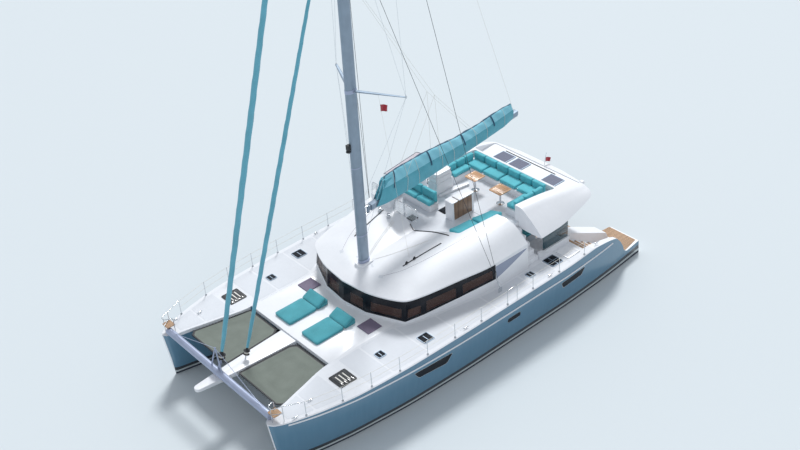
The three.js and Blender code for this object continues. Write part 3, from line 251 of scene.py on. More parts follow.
@dataclass(frozen=True)
class Gelcoat(Finish):
    """Glossy moulded plastic with faint waviness, chalking and run-off marks."""

    roughness: float = 0.32
    tread: float = 0.0
    tread_pitch: float = 0.012

    def shade(self, surface: Surface) -> None:
        """Feeds the surface's shader.

        Args:
            surface: the surface that is shaded.
        """
        chalk, marks = surface.noise(1.3, 4.0), surface.noise(9.0, 5.0, (1.0, 1.0, 0.25))
        surface.feed(Base_Color=surface.mix((chalk * 0.6 + marks * 0.4).over(0.55, 0.5), self.tone(0.93), self.color),
                     Roughness=self.roughness + marks * 0.12, Coat_Weight=0.25, Coat_Roughness=0.15)
        if self.tread:
            x, y, _ = surface.axes()
            turn = 2 * math.pi / self.tread_pitch
            grain = abs((x * turn).sine() * (y * turn).sine())
            surface.feed(Roughness=0.55 + marks * 0.15, Coat_Weight=0.0)
            surface.relief(grain, self.tread)
        else:
            surface.relief(surface.noise(0.9, 1.0), 0.002, 0.6)


@dataclass(frozen=True)
class HullBands(Finish):
    """Blue-grey topsides, which paint the shade on a white hull, over a boot stripe and dark antifouling, banded by
    height.
    """

    name: str = "topside_paint"
    # Blue-grey painted shade: the white topsides as they look in shade.
    color: Color = srgb(80, 124, 150)
    stripe: Color = srgb(196, 204, 204)
    boot: Color = srgb(26, 34, 44)
    bottom: Color = srgb(38, 46, 62)
    boot_low: float = 0.2
    boot_high: float = 0.37
    stripe_low: float = 0.1

    def shade(self, surface: Surface) -> None:
        """Feeds the surface's shader.

        Args:
            surface: the surface that is shaded.
        """
        z = surface.axes()[Axis.Z]
        cloud, streak = surface.noise(0.5, 3.0), surface.noise(6.0, 4.0, (1.0, 1.0, 0.06))
        banded = surface.mix((cloud * 0.5 + streak * 0.5).over(0.5, 0.5), self.color, self.tone(1.12, 0.01))
        for low, soft, color in ((self.boot_high, 0.006, self.boot), (self.boot_low, 0.006, self.stripe),
                                 (self.stripe_low, 0.012, self.bottom)):
            banded = surface.mix(z.over(low, soft), color, banded)
        above = z.over(self.stripe_low, 0.02)
        surface.feed(Base_Color=banded, Roughness=0.65 - above * 0.45 + streak * 0.06, Coat_Weight=above * 0.6,
                     Coat_Roughness=0.06)
        surface.relief(surface.noise(0.7, 1.0), 0.004, 0.5)


@dataclass(frozen=True)
class Woven(Finish):
    """Woven cloth with its yarns, colour drift and fine flecks."""

    yarn: float = 0.004
    depth: float = 0.0008
    fade: float = 0.16
    roughness: float = 0.88
    sheen: float = 0.35

    def shade(self, surface: Surface) -> None:
        """Feeds the surface's shader.

        Args:
            surface: the surface that is shaded.
        """
        x, y, z = surface.axes()
        turn = math.pi / self.yarn
        weave = (x * turn).sine() * (y * turn).sine() * 0.5 + (z * turn).sine() * (x * turn + y * turn).sine() * 0.5
        cloud, fleck = surface.noise(2.2, 4.0), surface.noise(60.0, 3.0)
        drift = (cloud * 0.65 + fleck * 0.35).over(0.5, 0.45)
        surface.feed(Base_Color=surface.mix(drift, self.tone(1 - self.fade), self.tone(1 + self.fade, 0.012)),
                     Roughness=self.roughness - fleck * 0.08, Sheen_Weight=self.sheen, Sheen_Roughness=0.5)
        surface.relief(weave + fleck * 0.6 + cloud * 3.0, self.depth)


@dataclass(frozen=True)
class Planked(Finish):
    """Oiled planks along X with dark caulking between them."""

    plank: float = 0.055
    seam: float = 0.006
    caulking: Color = srgb(38, 34, 32)
    roughness: float = 0.55

    def shade(self, surface: Surface) -> None:
        """Feeds the surface's shader.

        Args:
            surface: the surface that is shaded.
        """
        way = surface.axes()[Axis.Y]
        share, lane = (way / self.plank).fract(), (way / self.plank).floor()
        tone = surface.node("ShaderNodeTexWhiteNoise", {"noise_dimensions": "1D"}, {"W": lane})
        grain = surface.noise(1.0, 6.0, (3.0, 40.0, 40.0))
        wood = surface.mix((grain * 0.7 + tone * 0.3).over(0.5, 0.6), self.tone(0.66), self.tone(1.16))
        caulk = 1 - (0.5 - abs(share - 0.5)).over(self.seam / self.plank / 2, 0.02)
        surface.feed(Base_Color=surface.mix(caulk, wood, self.caulking),
                     Roughness=self.roughness + caulk * 0.2 + grain * 0.1)
        surface.relief(grain * 0.4 - caulk, 0.0012)


@dataclass(frozen=True)
class Timber(Finish):
    """Varnished wood whose figure runs along one axis."""

    along: Axis = Axis.X
    roughness: float = 0.28

    def shade(self, surface: Surface) -> None:
        """Feeds the surface's shader.

        Args:
            surface: the surface that is shaded.
        """
        stretch = [24.0, 24.0, 24.0]
        stretch[self.along] = 1.6
        figure, pores = surface.noise(1.0, 6.0, stretch), surface.noise(6.0, 3.0, stretch)
        mask = (figure * 0.8 + pores * 0.2).over(0.5, 0.5)
        surface.feed(Base_Color=surface.mix(mask, self.tone(0.55), self.tone(1.2)),
                     Roughness=self.roughness + pores * 0.12, Coat_Weight=0.5, Coat_Roughness=0.1)
        surface.relief(pores, 0.0004)


@dataclass(frozen=True)
class Metal(Finish):
    """Anodised, brushed or polished metal with fine scratches along one axis."""

    roughness: float = 0.3
    metallic: float = 1.0
    along: Axis = Axis.Z

    def shade(self, surface: Surface) -> None:
        """Feeds the surface's shader.

        Args:
            surface: the surface that is shaded.
        """
        stretch = [90.0, 90.0, 90.0]
        stretch[self.along] = 2.0
        scratch, stain = surface.noise(1.0, 3.0, stretch), surface.noise(3.0, 4.0)
        surface.feed(Base_Color=surface.mix(stain.over(0.5, 0.5), self.tone(0.86), self.color),
                     Roughness=self.roughness + (scratch - 0.5) * 0.2 + stain * 0.05, Metallic=self.metallic)
        surface.relief(scratch, 0.0002)


@dataclass(frozen=True)
class Pane(Finish):
    """Tinted glass or acrylic with a hard glossy face."""

    alpha: float = 0.85
    roughness: float = 0.04
    specular: float = 0.5
    coat: float = 1.0

    def shade(self, surface: Surface) -> None:
        """Feeds the surface's shader.

        Args:
            surface: the surface that is shaded.
        """
        dust = surface.noise(2.5, 5.0)
        surface.feed(Base_Color=surface.mix(dust.over(0.55, 0.4), self.color, self.tone(1, 0.02)),
                     Roughness=self.roughness + dust * 0.05, Alpha=self.alpha, Coat_Weight=self.coat,
                     Coat_Roughness=0.03, Specular_IOR_Level=self.specular)


@dataclass(frozen=True)
class Rubber(Finish):
    """Dark rubber, plastic or rope that is dull and slightly uneven."""

    roughness: float = 0.6
    grain: float = 120.0
    depth: float = 0.0006

    def shade(self, surface: Surface) -> None:
        """Feeds the surface's shader.

        Args:
            surface: the surface that is shaded.
        """
        fleck = surface.noise(self.grain, 3.0)
        surface.feed(Base_Color=surface.mix(fleck.over(0.5, 0.5), self.color, self.tone(1.35, 0.01)),
                     Roughness=self.roughness + fleck * 0.15)
        surface.relief(fleck, self.depth)


@dataclass(frozen=True)
class SolarCells(Finish):
    """Dark cells under glass with pale wires between them."""

    wire: Color = srgb(74, 88, 118)
    pitch: float = 0.125

    def shade(self, surface: Surface) -> None:
        """Feeds the surface's shader.

        Args:
            surface: the surface that is shaded.
        """
        x, y, _ = surface.axes()
        gaps = [1 - (0.5 - abs((way / step).fract() - 0.5)).over(width / 2, 0.01)
                for way, step, width in ((x, self.pitch, 0.04), (y, self.pitch, 0.04), (y, self.pitch / 6, 0.12))]
        lines = gaps[0].most(gaps[1]).most(gaps[2] * 0.25)
        sparkle = surface.noise(30.0, 3.0)
        cell = surface.mix(sparkle.over(0.5, 0.4), self.color, self.tone(1.5))
        surface.feed(Base_Color=surface.mix(lines, cell, self.wire), Roughness=0.42 + sparkle * 0.1, Coat_Weight=0.25,
                     Coat_Roughness=0.12)


@lru_cache(maxsize=None)
def dressed(finish: Finish) -> bpy.types.Material:
    """The material of a finish, made once."""
    return finish.material()


WHITE = Gelcoat("white_gelcoat", srgb(240, 242, 246))
DECK = Gelcoat("deck_nonskid", srgb(232, 235, 240), tread=0.0012)
NONSKID = Gelcoat("walkway_nonskid", srgb(222, 226, 232), roughness=0.6, tread=0.0015, tread_pitch=0.018)
# Topsides in painted shade, over a real boot stripe and antifouling.
SHADED_TOPSIDE = HullBands()
TURQUOISE = Woven("turquoise_canvas", srgb(78, 184, 197))
SUN_CLOTH = Woven("sunpad_canvas", srgb(57, 153, 165))
NET = Woven("trampoline_net", srgb(118, 126, 118), yarn=0.012, depth=0.003, fade=0.1, sheen=0.0)
TEAK = Planked("teak_planks", srgb(186, 150, 116))
TABLE_WOOD = Timber("table_wood", srgb(200, 148, 96))
BAR_WOOD = Timber("bar_wood", srgb(140, 110, 84), Axis.Z)
ANODISED = Metal("anodised_spar", srgb(150, 166, 182), 0.42, 0.55)
# Pale alloy with a blue-lilac tint that is painted shade.
BEAM_ALLOY_SHADE_TINT = Metal("beam_alloy", srgb(172, 182, 206), 0.35, 0.5, Axis.Y)
STEEL = Metal("polished_steel", srgb(214, 218, 222), 0.16)
WIRE = Metal("rigging_wire", srgb(70, 76, 82), 0.4, 0.7)
SMOKED = Pane("smoked_glass", srgb(24, 28, 36), alpha=0.95, roughness=0.12, specular=0.16, coat=0.0)
LIGHT_PANE = Pane("lighter_glass", srgb(34, 36, 42), alpha=0.3, roughness=0.12, specular=0.16, coat=0.0)
HATCH = Pane("hatch_acrylic", srgb(28, 32, 38), alpha=0.94, roughness=0.16)
# Grey-blue painted shade under the roof's overhang, laid on white walls.
QUARTER_SHADE = Gelcoat("quarter_panel", srgb(150, 160, 182), 0.45)
TEAL_PANE = Pane("teal_screen", srgb(16, 66, 78), 0.86)
LID_GREY = Gelcoat("locker_lid_grey", srgb(118, 108, 130), roughness=0.5, tread=0.0016, tread_pitch=0.02)
# Lit and shaded copies of one canvas: the upper panel is painted light, the sides are painted shade.
BAG_PAINTED_LIT = Woven("sail_bag_canvas", srgb(134, 206, 224), depth=0.001, fade=0.1)
BAG_PAINTED_SHADE = Woven("sail_bag_side", srgb(84, 168, 186), depth=0.001, fade=0.12)
BAG_DARK = Woven("sail_bag_webbing", srgb(12, 74, 104), fade=0.1)
ROLL = Woven("furled_sail_cloth", srgb(104, 178, 198), yarn=0.006, fade=0.14)
AWNING = Woven("bimini_canvas", srgb(202, 192, 198), fade=0.06)
AWNING_RIM = Woven("bimini_binding", srgb(24, 44, 74), fade=0.08)
SETTEE_CLOTH = Woven("settee_cloth", srgb(196, 188, 180), fade=0.08)
BLACK = Rubber("black_fittings", srgb(26, 28, 32), 0.45)
ROPE = Rubber("white_rope", srgb(214, 212, 204), 0.8, 300.0)
BRONZE = Metal("propeller_bronze", srgb(168, 132, 74))
BLIND = Timber("saloon_blind", srgb(150, 112, 98), Axis.Y)
CLEAR = Pane("clear_screen", srgb(200, 210, 214), 0.22)
FLAG_RED = Woven("flag_red", srgb(170, 36, 52), fade=0.1)
ENGINE = Rubber("engine_enamel", srgb(108, 114, 118), 0.45, 30.0)
CELLS = SolarCells("solar_cells", srgb(38, 50, 84))
FLOOR = Finish("studio_floor", srgb(206, 214, 218))


# Mesh building

@dataclass
class Form:
    """Vertices and faces that grow piece by piece, each face with its finish."""

    points: list = field(default_factory=list)
    faces: list = field(default_factory=list)
    finishes: list = field(default_factory=list)

    def add(self, points: Iterable[Point], faces: Iterable[Sequence[int]], finish: Finish) -> "Form":
        """Adds a closed or open shape.

        Args:
            points: its vertices.
            faces: its faces as indices of those vertices.
            finish: the finish of all of them.

        Returns:
            The form itself.
        """
        start = len(self.points)
        self.points.extend(tuple(map(float, p)) for p in points)
        for face in faces:
            self.faces.append(tuple(start + k for k in face))
            self.finishes.append(finish)
        return self

    def grid(self, rows: Sequence, finish: Union[Finish, Sequence[Finish]], around: bool = True,
             caps: bool = True) -> "Form":
        """Adds a skin over rows of points.

        Args:
            rows: rows of points.
            finish: the skin's finish, or one for each column, whose last goes to the caps too.
            around: whether each row closes on itself.
            caps: whether the first and last rows are filled.

        Returns:
            The form itself.
        """
        rows = np.asarray(rows, float)
        count, width = rows.shape[:2]
        columns = width if around else width - 1
        kinds = list(finish) if isinstance(finish, (list, tuple)) else [finish] * columns
        faces = []
        for r in range(count - 1):
            for k in range(columns):
                after = (k + 1) % width
                faces.append((r * width + k, r * width + after, (r + 1) * width + after, (r + 1) * width + k))
        if caps:
            faces.append(tuple(reversed(range(width))))
            faces.append(tuple((count - 1) * width + k for k in range(width)))
        start = len(self.faces)
        self.add(rows.reshape(-1, 3), faces, kinds[-1])
        self.finishes[start:start + columns * (count - 1)] = kinds * (count - 1)
        return self

    def join(self, other: "Form") -> "Form":
        """Adds the shapes of another form.

        Args:
            other: the other form.

        Returns:
            The form itself.
        """
        start = len(self.points)
        self.points.extend(other.points)
        self.faces.extend(tuple(start + k for k in face) for face in other.faces)
        self.finishes.extend(other.finishes)
        return self

    def prism(self, outline: Sequence[Point], span: Point, finish: Finish, axis: Axis = Axis.Z) -> "Form":
        """Adds an outline, given in the two other axes, carried along one axis from start to end."""
        return self.grid([np.insert(np.asarray(outline, float), axis, level, axis=1) for level in span], finish)

    def box(self, low: Point, high: Point, finish: Finish) -> "Form":
        """Adds a box between two corners."""
        corners = [(low[0], low[1]), (high[0], low[1]), (high[0], high[1]), (low[0], high[1])]
        return self.prism(corners, (low[2], high[2]), finish)

    def turned(self, profile: Sequence[tuple[float, float]], start: Point, way: Point, finish: Finish,
               sides: int = 24) -> "Form":
        """Adds a round shape turned about an axis.

        Args:
            profile: radius and distance along the axis, from one end to the other.
            start: the point on the axis at distance 0.
            way: the axis.
            finish: its finish.
            sides: faces round it.

        Returns:
            The form itself.
        """
        axis = Vector(way).normalized()
        side = axis.orthogonal().normalized()
        across = axis.cross(side)
        turns = np.linspace(0, 2 * math.pi, sides, endpoint=False)
        spokes = [side * math.cos(a) + across * math.sin(a) for a in turns]
        return self.grid([[Vector(start) + axis * distance + spoke * max(radius, 1e-4) for spoke in spokes]
                          for radius, distance in profile], finish)

    def mirrored(self) -> "Form":
        """The same form on the other side of the centre plane."""
        points = [(x, -y, z) for x, y, z in self.points]
        return Form(points, [tuple(reversed(face)) for face in self.faces], list(self.finishes))

    def built(self, name: str, bevel: float = 0.0, segments: int = 2, sharp: float = 35.0) -> Piece:
        """Makes the object, with its faces out and its edges eased.

        Args:
            name: the piece's name.
            bevel: radius of the eased edges, or 0 for none.
            segments: faces across each eased edge.
            sharp: angle in degrees past which an edge stays crisp.

        Returns:
            The object, linked to the scene.
        """
        mesh = bpy.data.meshes.new(name)
        mesh.from_pydata(self.points, [], self.faces)
        kinds = list(dict.fromkeys(self.finishes))
        for kind in kinds:
            mesh.materials.append(dressed(kind))
        mesh.polygons.foreach_set("material_index", [kinds.index(kind) for kind in self.finishes])
        work = bmesh.new()
        work.from_mesh(mesh)
        bmesh.ops.remove_doubles(work, verts=work.verts, dist=1e-5)
        bmesh.ops.recalc_face_normals(work, faces=work.faces)
        work.to_mesh(mesh)
        work.free()
        piece = linked(name, mesh)
        if bevel:
            ease_edges(piece, bevel, segments)
        smooth_within(piece.data, sharp)
        return piece


def linked(name: str, data: bpy.types.ID) -> Piece:
    """A new object of some data, in the scene.

    Args:
        name: its name.
        data: what it shows.

    Returns:
        The object.
    """
    piece = bpy.data.objects.new(name, data)
    bpy.context.scene.collection.objects.link(piece)
    return piece


def evaluated(piece: Piece) -> bpy.types.Mesh:
    """The piece's mesh with its modifiers applied, as a new mesh."""
    graph = bpy.context.evaluated_depsgraph_get()
    return bpy.data.meshes.new_from_object(piece.evaluated_get(graph), depsgraph=graph)


def node_box(name: str) -> tuple[float, ...]:
    """Lowest and highest x, y and z of a frame node.

    Args:
        name: its name.

    Returns:
        The six values, the lowest three first.
    """
    node = bpy.data.objects[name]
    places = np.array([node.matrix_world @ vertex.co for vertex in node.data.vertices])
    return (*places.min(axis=0), *places.max(axis=0))


def tree_of(name: str) -> BVHTree:
    """Search tree over the faces of a piece or a frame node.

    Args:
        name: its name.

    Returns:
        The tree.
    """
    piece = bpy.data.objects[name]
    return BVHTree.FromPolygons([piece.matrix_world @ vertex.co for vertex in piece.data.vertices],
                                [tuple(face.vertices) for face in piece.data.polygons])


def settle(piece: Piece) -> Piece:
    """Applies the piece's modifiers to its mesh and removes them.

    Args:
        piece: the piece.

    Returns:
        The piece.
    """
    mesh = evaluated(piece)
    piece.modifiers.clear()
    piece.data = mesh
    return piece


def ease_edges(piece: Piece, radius: float, segments: int = 2, sharp: float = 28.0) -> None:
    """Rounds the edges that are sharper than an angle in degrees.

    Args:
        piece: the piece.
        radius: the radius, in metres.
        segments: faces across each rounded edge.
        sharp: the angle.
    """
    bevel = piece.modifiers.new("eased", "BEVEL")
    bevel.width = radius
    bevel.segments = segments
    bevel.limit_method = "ANGLE"
    bevel.angle_limit = math.radians(sharp)
    settle(piece)


def thicken(piece: Piece, thickness: float, offset: float = 0.0) -> Piece:
    """Gives a skin a thickness, from -1 inwards over 0 about its middle to 1 outwards.

    Args:
        piece: the piece.
        thickness: the thickness, in metres.
        offset: where the skin lies in it.

    Returns:
        The piece.
    """
    solid = piece.modifiers.new("thickened", "SOLIDIFY")
    solid.thickness, solid.offset = thickness, offset
    return settle(piece)


def smooth_within(mesh: bpy.types.Mesh, angle: float) -> None:
    """Shades a mesh smooth, apart from edges sharper than an angle in degrees.

    Args:
        mesh: the mesh.
        angle: the angle.
    """
    work = bmesh.new()
    work.from_mesh(mesh)
    limit = math.radians(angle)
    for face in work.faces:
        face.smooth = True
    for edge in work.edges:
        edge.smooth = len(edge.link_faces) == 2 and edge.calc_face_angle(0.0) < limit
    work.to_mesh(mesh)
    work.free()


def copied(node: str, name: str, finish: Finish, bevel: float = 0.0) -> Piece:
    """A finer copy of a frame node: its corners merged, its edges eased.

    Args:
        node: the node that is copied.
        name: the new piece's name.
        finish: the finish of all its faces.
        bevel: radius of the eased edges, or 0 for none.

    Returns:
        The new object.
    """
    work = bmesh.new()
    work.from_mesh(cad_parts[node].data)
    bmesh.ops.remove_doubles(work, verts=work.verts, dist=2e-4)
    bmesh.ops.dissolve_limit(work, angle_limit=math.radians(0.6), verts=work.verts, edges=work.edges)
    mesh = bpy.data.meshes.new(name)
    work.to_mesh(mesh)
    work.free()
    mesh.materials.clear()
    mesh.materials.append(dressed(finish))
    mesh.polygons.foreach_set("material_index", [0] * len(mesh.polygons))
    piece = linked(name, mesh)
    if bevel:
        ease_edges(piece, bevel)
    smooth_within(piece.data, 35.0)
    return piece


def repaint(piece: Piece, finish: Finish, chosen: Callable[[Vector, Vector], bool]) -> None:
    """Gives a finish to the faces that a rule picks.

    Args:
        piece: the piece.
        finish: the finish they get.
        chosen: rule on a face's centre and normal.
    """
    mesh = piece.data
    material = dressed(finish)
    if material.name not in mesh.materials:
        mesh.materials.append(material)
    index = list(mesh.materials).index(material)
    for face in mesh.polygons:
        if chosen(face.center, face.normal):
            face.material_index = index


def place(piece: Piece, body: str = ROOT, slot: Optional[str] = None,
          instead_of: Sequence[str] = ()) -> Piece:
    """Sets a finished piece on its body and says what it stands for.

    Args:
        piece: the finished piece.
        body: the body that it moves with.
        slot: the record's material slot of its finish; not used.
        instead_of: the frame nodes that it replaces.

    Returns:
        The piece.
    """
    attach(piece, body)
    if instead_of:
        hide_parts(*instead_of)
    LOG.info("%s: %d faces on %s", piece.name, len(piece.data.polygons), body)
    return piece


# Curves, cuts and repeated pieces

def glide(rows: Sequence[Sequence[float]], at: Union[float, Sequence[float]]) -> np.ndarray:
    """Values between the rows of a table, smooth and without overshoot.

    Args:
        rows: the table, with its places in the first column, rising or falling.
        at: one place or several.

    Returns:
        The other columns at those places, one row for each.
    """
    table = np.asarray(rows, float)
    table = table[np.argsort(table[:, 0])]
    x, values = table[:, 0], table[:, 1:]
    slope = np.diff(values, axis=0) / np.diff(x)[:, None]
    tangent = np.zeros_like(values)
    tangent[0], tangent[-1] = slope[0], slope[-1]
    before, after = slope[:-1], slope[1:]
    same_way = before * after > 0
    tangent[1:-1] = np.where(same_way, 2 * before * after / np.where(same_way, before + after, 1.0), 0.0)
    places = np.clip(np.atleast_1d(np.asarray(at, float)), x[0], x[-1])
    k = np.clip(np.searchsorted(x, places) - 1, 0, len(x) - 2)
    step = (x[k + 1] - x[k])[:, None]
    s = (places - x[k])[:, None] / step
    return ((1 + 2 * s) * (1 - s) ** 2 * values[k] + s * (1 - s) ** 2 * step * tangent[k]
            + s * s * (3 - 2 * s) * values[k + 1] + s * s * (s - 1) * step * tangent[k + 1])


def softened(corners: Sequence[Point], radius: float, steps: int = 4) -> np.ndarray:
    """Points of an outline whose corners are rounded.

    Args:
        corners: its corners, in two or three coordinates.
        radius: how far from a corner its arc starts.
        steps: faces across each arc.

    Returns:
        The rounded points.
    """
    points = np.asarray(corners, float)
    result = []
    for k, corner in enumerate(points):
        ends = []
        for other in (points[k - 1], points[(k + 1) % len(points)]):
            run = other - corner
            length = np.linalg.norm(run)
            ends.append(corner + run / length * min(radius, length * 0.45))
        for share in np.linspace(0, 1, steps + 1):
            result.append((1 - share) ** 2 * ends[0] + 2 * share * (1 - share) * corner + share ** 2 * ends[1])
    return np.array(result)


def rectangle(x: float, y: float, length: float, width: float, radius: float = 0.0) -> np.ndarray:
    """Outline of a rectangle about a centre, its corners rounded when a radius is given.

    Args:
        x: place along the boat.
        y: distance from the centre plane.
        length: its size along X.
        width: its size along Y.
        radius: the radius, in metres.

    Returns:
        Its points, in their order.
    """
    half_x, half_y = length / 2, width / 2
    corners = [(x - half_x, y - half_y), (x + half_x, y - half_y), (x + half_x, y + half_y), (x - half_x, y + half_y)]
    return softened(corners, radius) if radius else np.array(corners)


def carve(piece: Piece, tool: Form, cut: Cut = Cut.AWAY) -> Piece:
    """Takes a closed form from a piece or joins it on; the form's finishes go to the new faces.

    Args:
        piece: the piece that changes.
        tool: the form.
        cut: what the form does.

    Returns:
        The piece.
    """
    cutter = tool.built("carving_tool")
    step = piece.modifiers.new("carved", "BOOLEAN")
    step.object, step.operation, step.solver, step.material_mode = cutter, cut.value, "EXACT", "TRANSFER"
    settle(piece)
    bpy.data.objects.remove(cutter)
    return piece


def merged(name: str, pieces: Sequence[Piece]) -> Piece:
    """Joins several objects into the first, under a new name.

    Args:
        name: its name.
        pieces: the objects.

    Returns:
        The first object.
    """
    first = pieces[0]
    if len(pieces) > 1:
        with bpy.context.temp_override(active_object=first, object=first, selected_objects=list(pieces),
                                       selected_editable_objects=list(pieces)):
            bpy.ops.object.join()
    first.name = first.data.name = name
    return first


class Recipe:
    """A Geometry Nodes tree with named inputs, run on a piece and then removed from it."""

    def __init__(self, name: str, **inputs: float) -> None:
        """Makes the tree with its geometry, its sizes and its material.

        Args:
            name: the tree's name.
            inputs: the sizes and their usual values.
        """
        self.tree = bpy.data.node_groups.new(name, "GeometryNodeTree")
        add = self.tree.interface.new_socket
        add("Geometry", in_out="INPUT", socket_type="NodeSocketGeometry")
        self.keys = {}
        for label, value in inputs.items():
            kind = "NodeSocketInt" if isinstance(value, int) else "NodeSocketFloat"
            socket = add(label, in_out="INPUT", socket_type=kind)
            socket.default_value = value
            self.keys[label] = socket.identifier
        self.keys["Material"] = add("Material", in_out="INPUT", socket_type="NodeSocketMaterial").identifier
        add("Geometry", in_out="OUTPUT", socket_type="NodeSocketGeometry")
        self.given = self.tree.nodes.new("NodeGroupInput").outputs

    def node(self, kind: str, *given: Any, **named: Any) -> Socket:
        """The output of a new node, from what add_node takes."""
        return add_node(self.tree, kind, *given, **named)

    def close(self, shape: Socket) -> "Recipe":
        """Realizes the instances, sets the material and ends the tree.

        Args:
            shape: the geometry that the tree makes.

        Returns:
            The recipe itself.
        """
        whole = self.node("GeometryNodeRealizeInstances", values={0: shape})
        smooth = self.node("GeometryNodeSetShadeSmooth", values={0: whole})
        painted = self.node("GeometryNodeSetMaterial", values={0: smooth, "Material": self.given["Material"]})
        self.tree.links.new(painted, self.tree.nodes.new("NodeGroupOutput").inputs[0])
        return self

    def run(self, piece: Piece, finish: Finish, **sizes: float) -> Piece:
        """Turns a piece into what the tree makes of it.

        Args:
            piece: the piece whose mesh the tree reads.
            finish: the finish of the result.
            sizes: values of the tree's inputs.

        Returns:
            The same object with its new mesh.
        """
        modifier = piece.modifiers.new(self.tree.name, "NODES")
        modifier.node_group = self.tree
        for label, value in sizes.items():
            modifier[self.keys[label]] = value
        modifier[self.keys["Material"]] = dressed(finish)
        return settle(piece)


@lru_cache(maxsize=None)
def tube_recipe() -> Recipe:
    """Round tube along each line of a mesh, with its corners bent to a radius.

    Returns:
        The recipe.
    """
    recipe = Recipe("tube_along_line", Radius=0.01, Bend=0.0, Sides=10)
    line = recipe.node("GeometryNodeMeshToCurve", values={0: recipe.given["Geometry"]})
    bent = recipe.node("GeometryNodeFilletCurve", {"mode": "POLY"},
                       {"Curve": line, "Count": 5, "Radius": recipe.given["Bend"], "Limit Radius": True})
    ring = recipe.node("GeometryNodeCurvePrimitiveCircle",
                       values={"Resolution": recipe.given["Sides"], "Radius": recipe.given["Radius"]})
    tube = recipe.node("GeometryNodeCurveToMesh", values={"Curve": bent, "Profile Curve": ring, "Fill Caps": True})
    return recipe.close(tube)


@lru_cache(maxsize=None)
def stud_recipe() -> Recipe:
    """Upright round stud on each point of a mesh.

    Returns:
        The recipe.
    """
    recipe = Recipe("stud_on_point", Radius=0.02, Height=0.02, Sides=12)
    stud = recipe.node("GeometryNodeMeshCylinder", values={
        "Vertices": recipe.given["Sides"], "Radius": recipe.given["Radius"], "Depth": recipe.given["Height"]})
    return recipe.close(recipe.node("GeometryNodeInstanceOnPoints",
                                    values={"Points": recipe.given["Geometry"], "Instance": stud}))


def tubes(name: str, lines: Iterable[Sequence[Point]], radius: float, finish: Finish, bend: float = 0.0,
          sides: int = 10) -> Piece:
    """Tubes, wires or ropes along lines.

    Args:
        name: the object's name.
        lines: the lines; one that ends where it starts is closed.
        radius: the tube's radius.
        finish: its finish.
        bend: radius of its bends.
        sides: faces round it.

    Returns:
        The object.
    """
    points, edges = [], []
    for line in lines:
        line = [tuple(map(float, point)) for point in line]
        start = len(points)
        closed = len(line) > 3 and math.dist(line[0], line[-1]) < 1e-6
        points.extend(line[:-1] if closed else line)
        edges.extend((k, k + 1) for k in range(start, len(points) - 1))
        if closed:
            edges.append((len(points) - 1, start))
    mesh = bpy.data.meshes.new(name)
    mesh.from_pydata(points, edges, [])
    return tube_recipe().run(linked(name, mesh), finish, Radius=radius, Bend=bend, Sides=sides)


def studs(name: str, points: Iterable[Point], radius: float, height: float, finish: Finish,
          sides: int = 12) -> Piece:
    """Upright round studs centred on points.

    Args:
        name: the object's name.
        points: their centres.
        radius: their radius.
        height: their height.
        finish: their finish.
        sides: faces round each.

    Returns:
        The object.
    """
    mesh = bpy.data.meshes.new(name)
    mesh.from_pydata([tuple(map(float, point)) for point in points], [], [])
    return stud_recipe().run(linked(name, mesh), finish, Radius=radius, Height=height, Sides=sides)


def smooth_path(points: Sequence[Point], count: int) -> np.ndarray:
    """Evenly shared points on a smooth line through given ones.

    Args:
        points: the given points.
        count: how many points.

    Returns:
        The points.
    """
    points = np.asarray(points, float)
    run = np.concatenate([[0], np.cumsum(np.linalg.norm(np.diff(points, axis=0), axis=1))])
    return glide(np.column_stack([run, points]), np.linspace(0, run[-1], count))


def both_sides(lines: Iterable[Sequence[Point]]) -> list[np.ndarray]:
    """The lines and their mirror images across the centre plane."""
    given = [np.asarray(line, float) for line in lines]
    return given + [line * (1, -1, 1) for line in given]


def mirrored(piece: Piece, name: str) -> Piece:
    """A mirror image of a finished piece across the centre plane.

    Args:
        piece: the piece.
        name: the new piece's name.

    Returns:
        The new object.
    """
    mesh = piece.data.copy()
    mesh.transform(Matrix.Diagonal((1.0, -1.0, 1.0, 1.0)))
    mesh.flip_normals()
    mesh.name = name
    return linked(name, mesh)


def place_pair(piece: Piece, stem: str, slot: Optional[str] = None, nodes: Sequence[str] = (),
               moving: str = "") -> None:
    """Places a port piece and its mirror image to starboard.

    Args:
        piece: the finished port piece.
        stem: the name of both, before the side.
        slot: the record's material slot of its finish.
        nodes: the frame nodes that they replace, before the side.
        moving: the body that they move with, before the side, or empty for the vessel itself.
    """
    other = mirrored(piece, f"{stem}_starboard")
    piece.name = piece.data.name = f"{stem}_port"
    for half, side in zip((piece, other), SIDES):
        place(half, f"{moving}_{side}" if moving else ROOT, slot, [f"{node}_{side}" for node in nodes])


# Camera, floor and light

@dataclass(frozen=True)
class View:
    """Camera from high off the port bow, as the photograph was taken."""

    azimuth: float = 141.382
    elevation: float = 33.787
    roll: float = -4.593
    position: Point = (22.446, 28.084, 28.123)
    lens: float = 51.54
    sensor: float = 36.0
    clip: Point = (0.5, 600.0)

    def make(self) -> None:
        """Makes the scene's camera."""
        azimuth, elevation, roll = (math.radians(a) for a in (self.azimuth, self.elevation, self.roll))
        back = Vector((math.sin(azimuth) * math.cos(elevation), -math.cos(azimuth) * math.cos(elevation),
                       math.sin(elevation)))
        level = (-back).cross(Vector(UP)).normalized()
        upright = level.cross(-back)
        right = level * math.cos(roll) + upright * math.sin(roll)
        up = upright * math.cos(roll) - level * math.sin(roll)
        turn = Matrix((right, up, back)).transposed().to_4x4()
        data = bpy.data.cameras.new("photo_view")
        data.lens, data.sensor_width = self.lens, self.sensor
        data.clip_start, data.clip_end = self.clip
        camera = linked("photo_view", data)
        camera.matrix_world = Matrix.Translation(self.position) @ turn
        bpy.context.scene.camera = camera


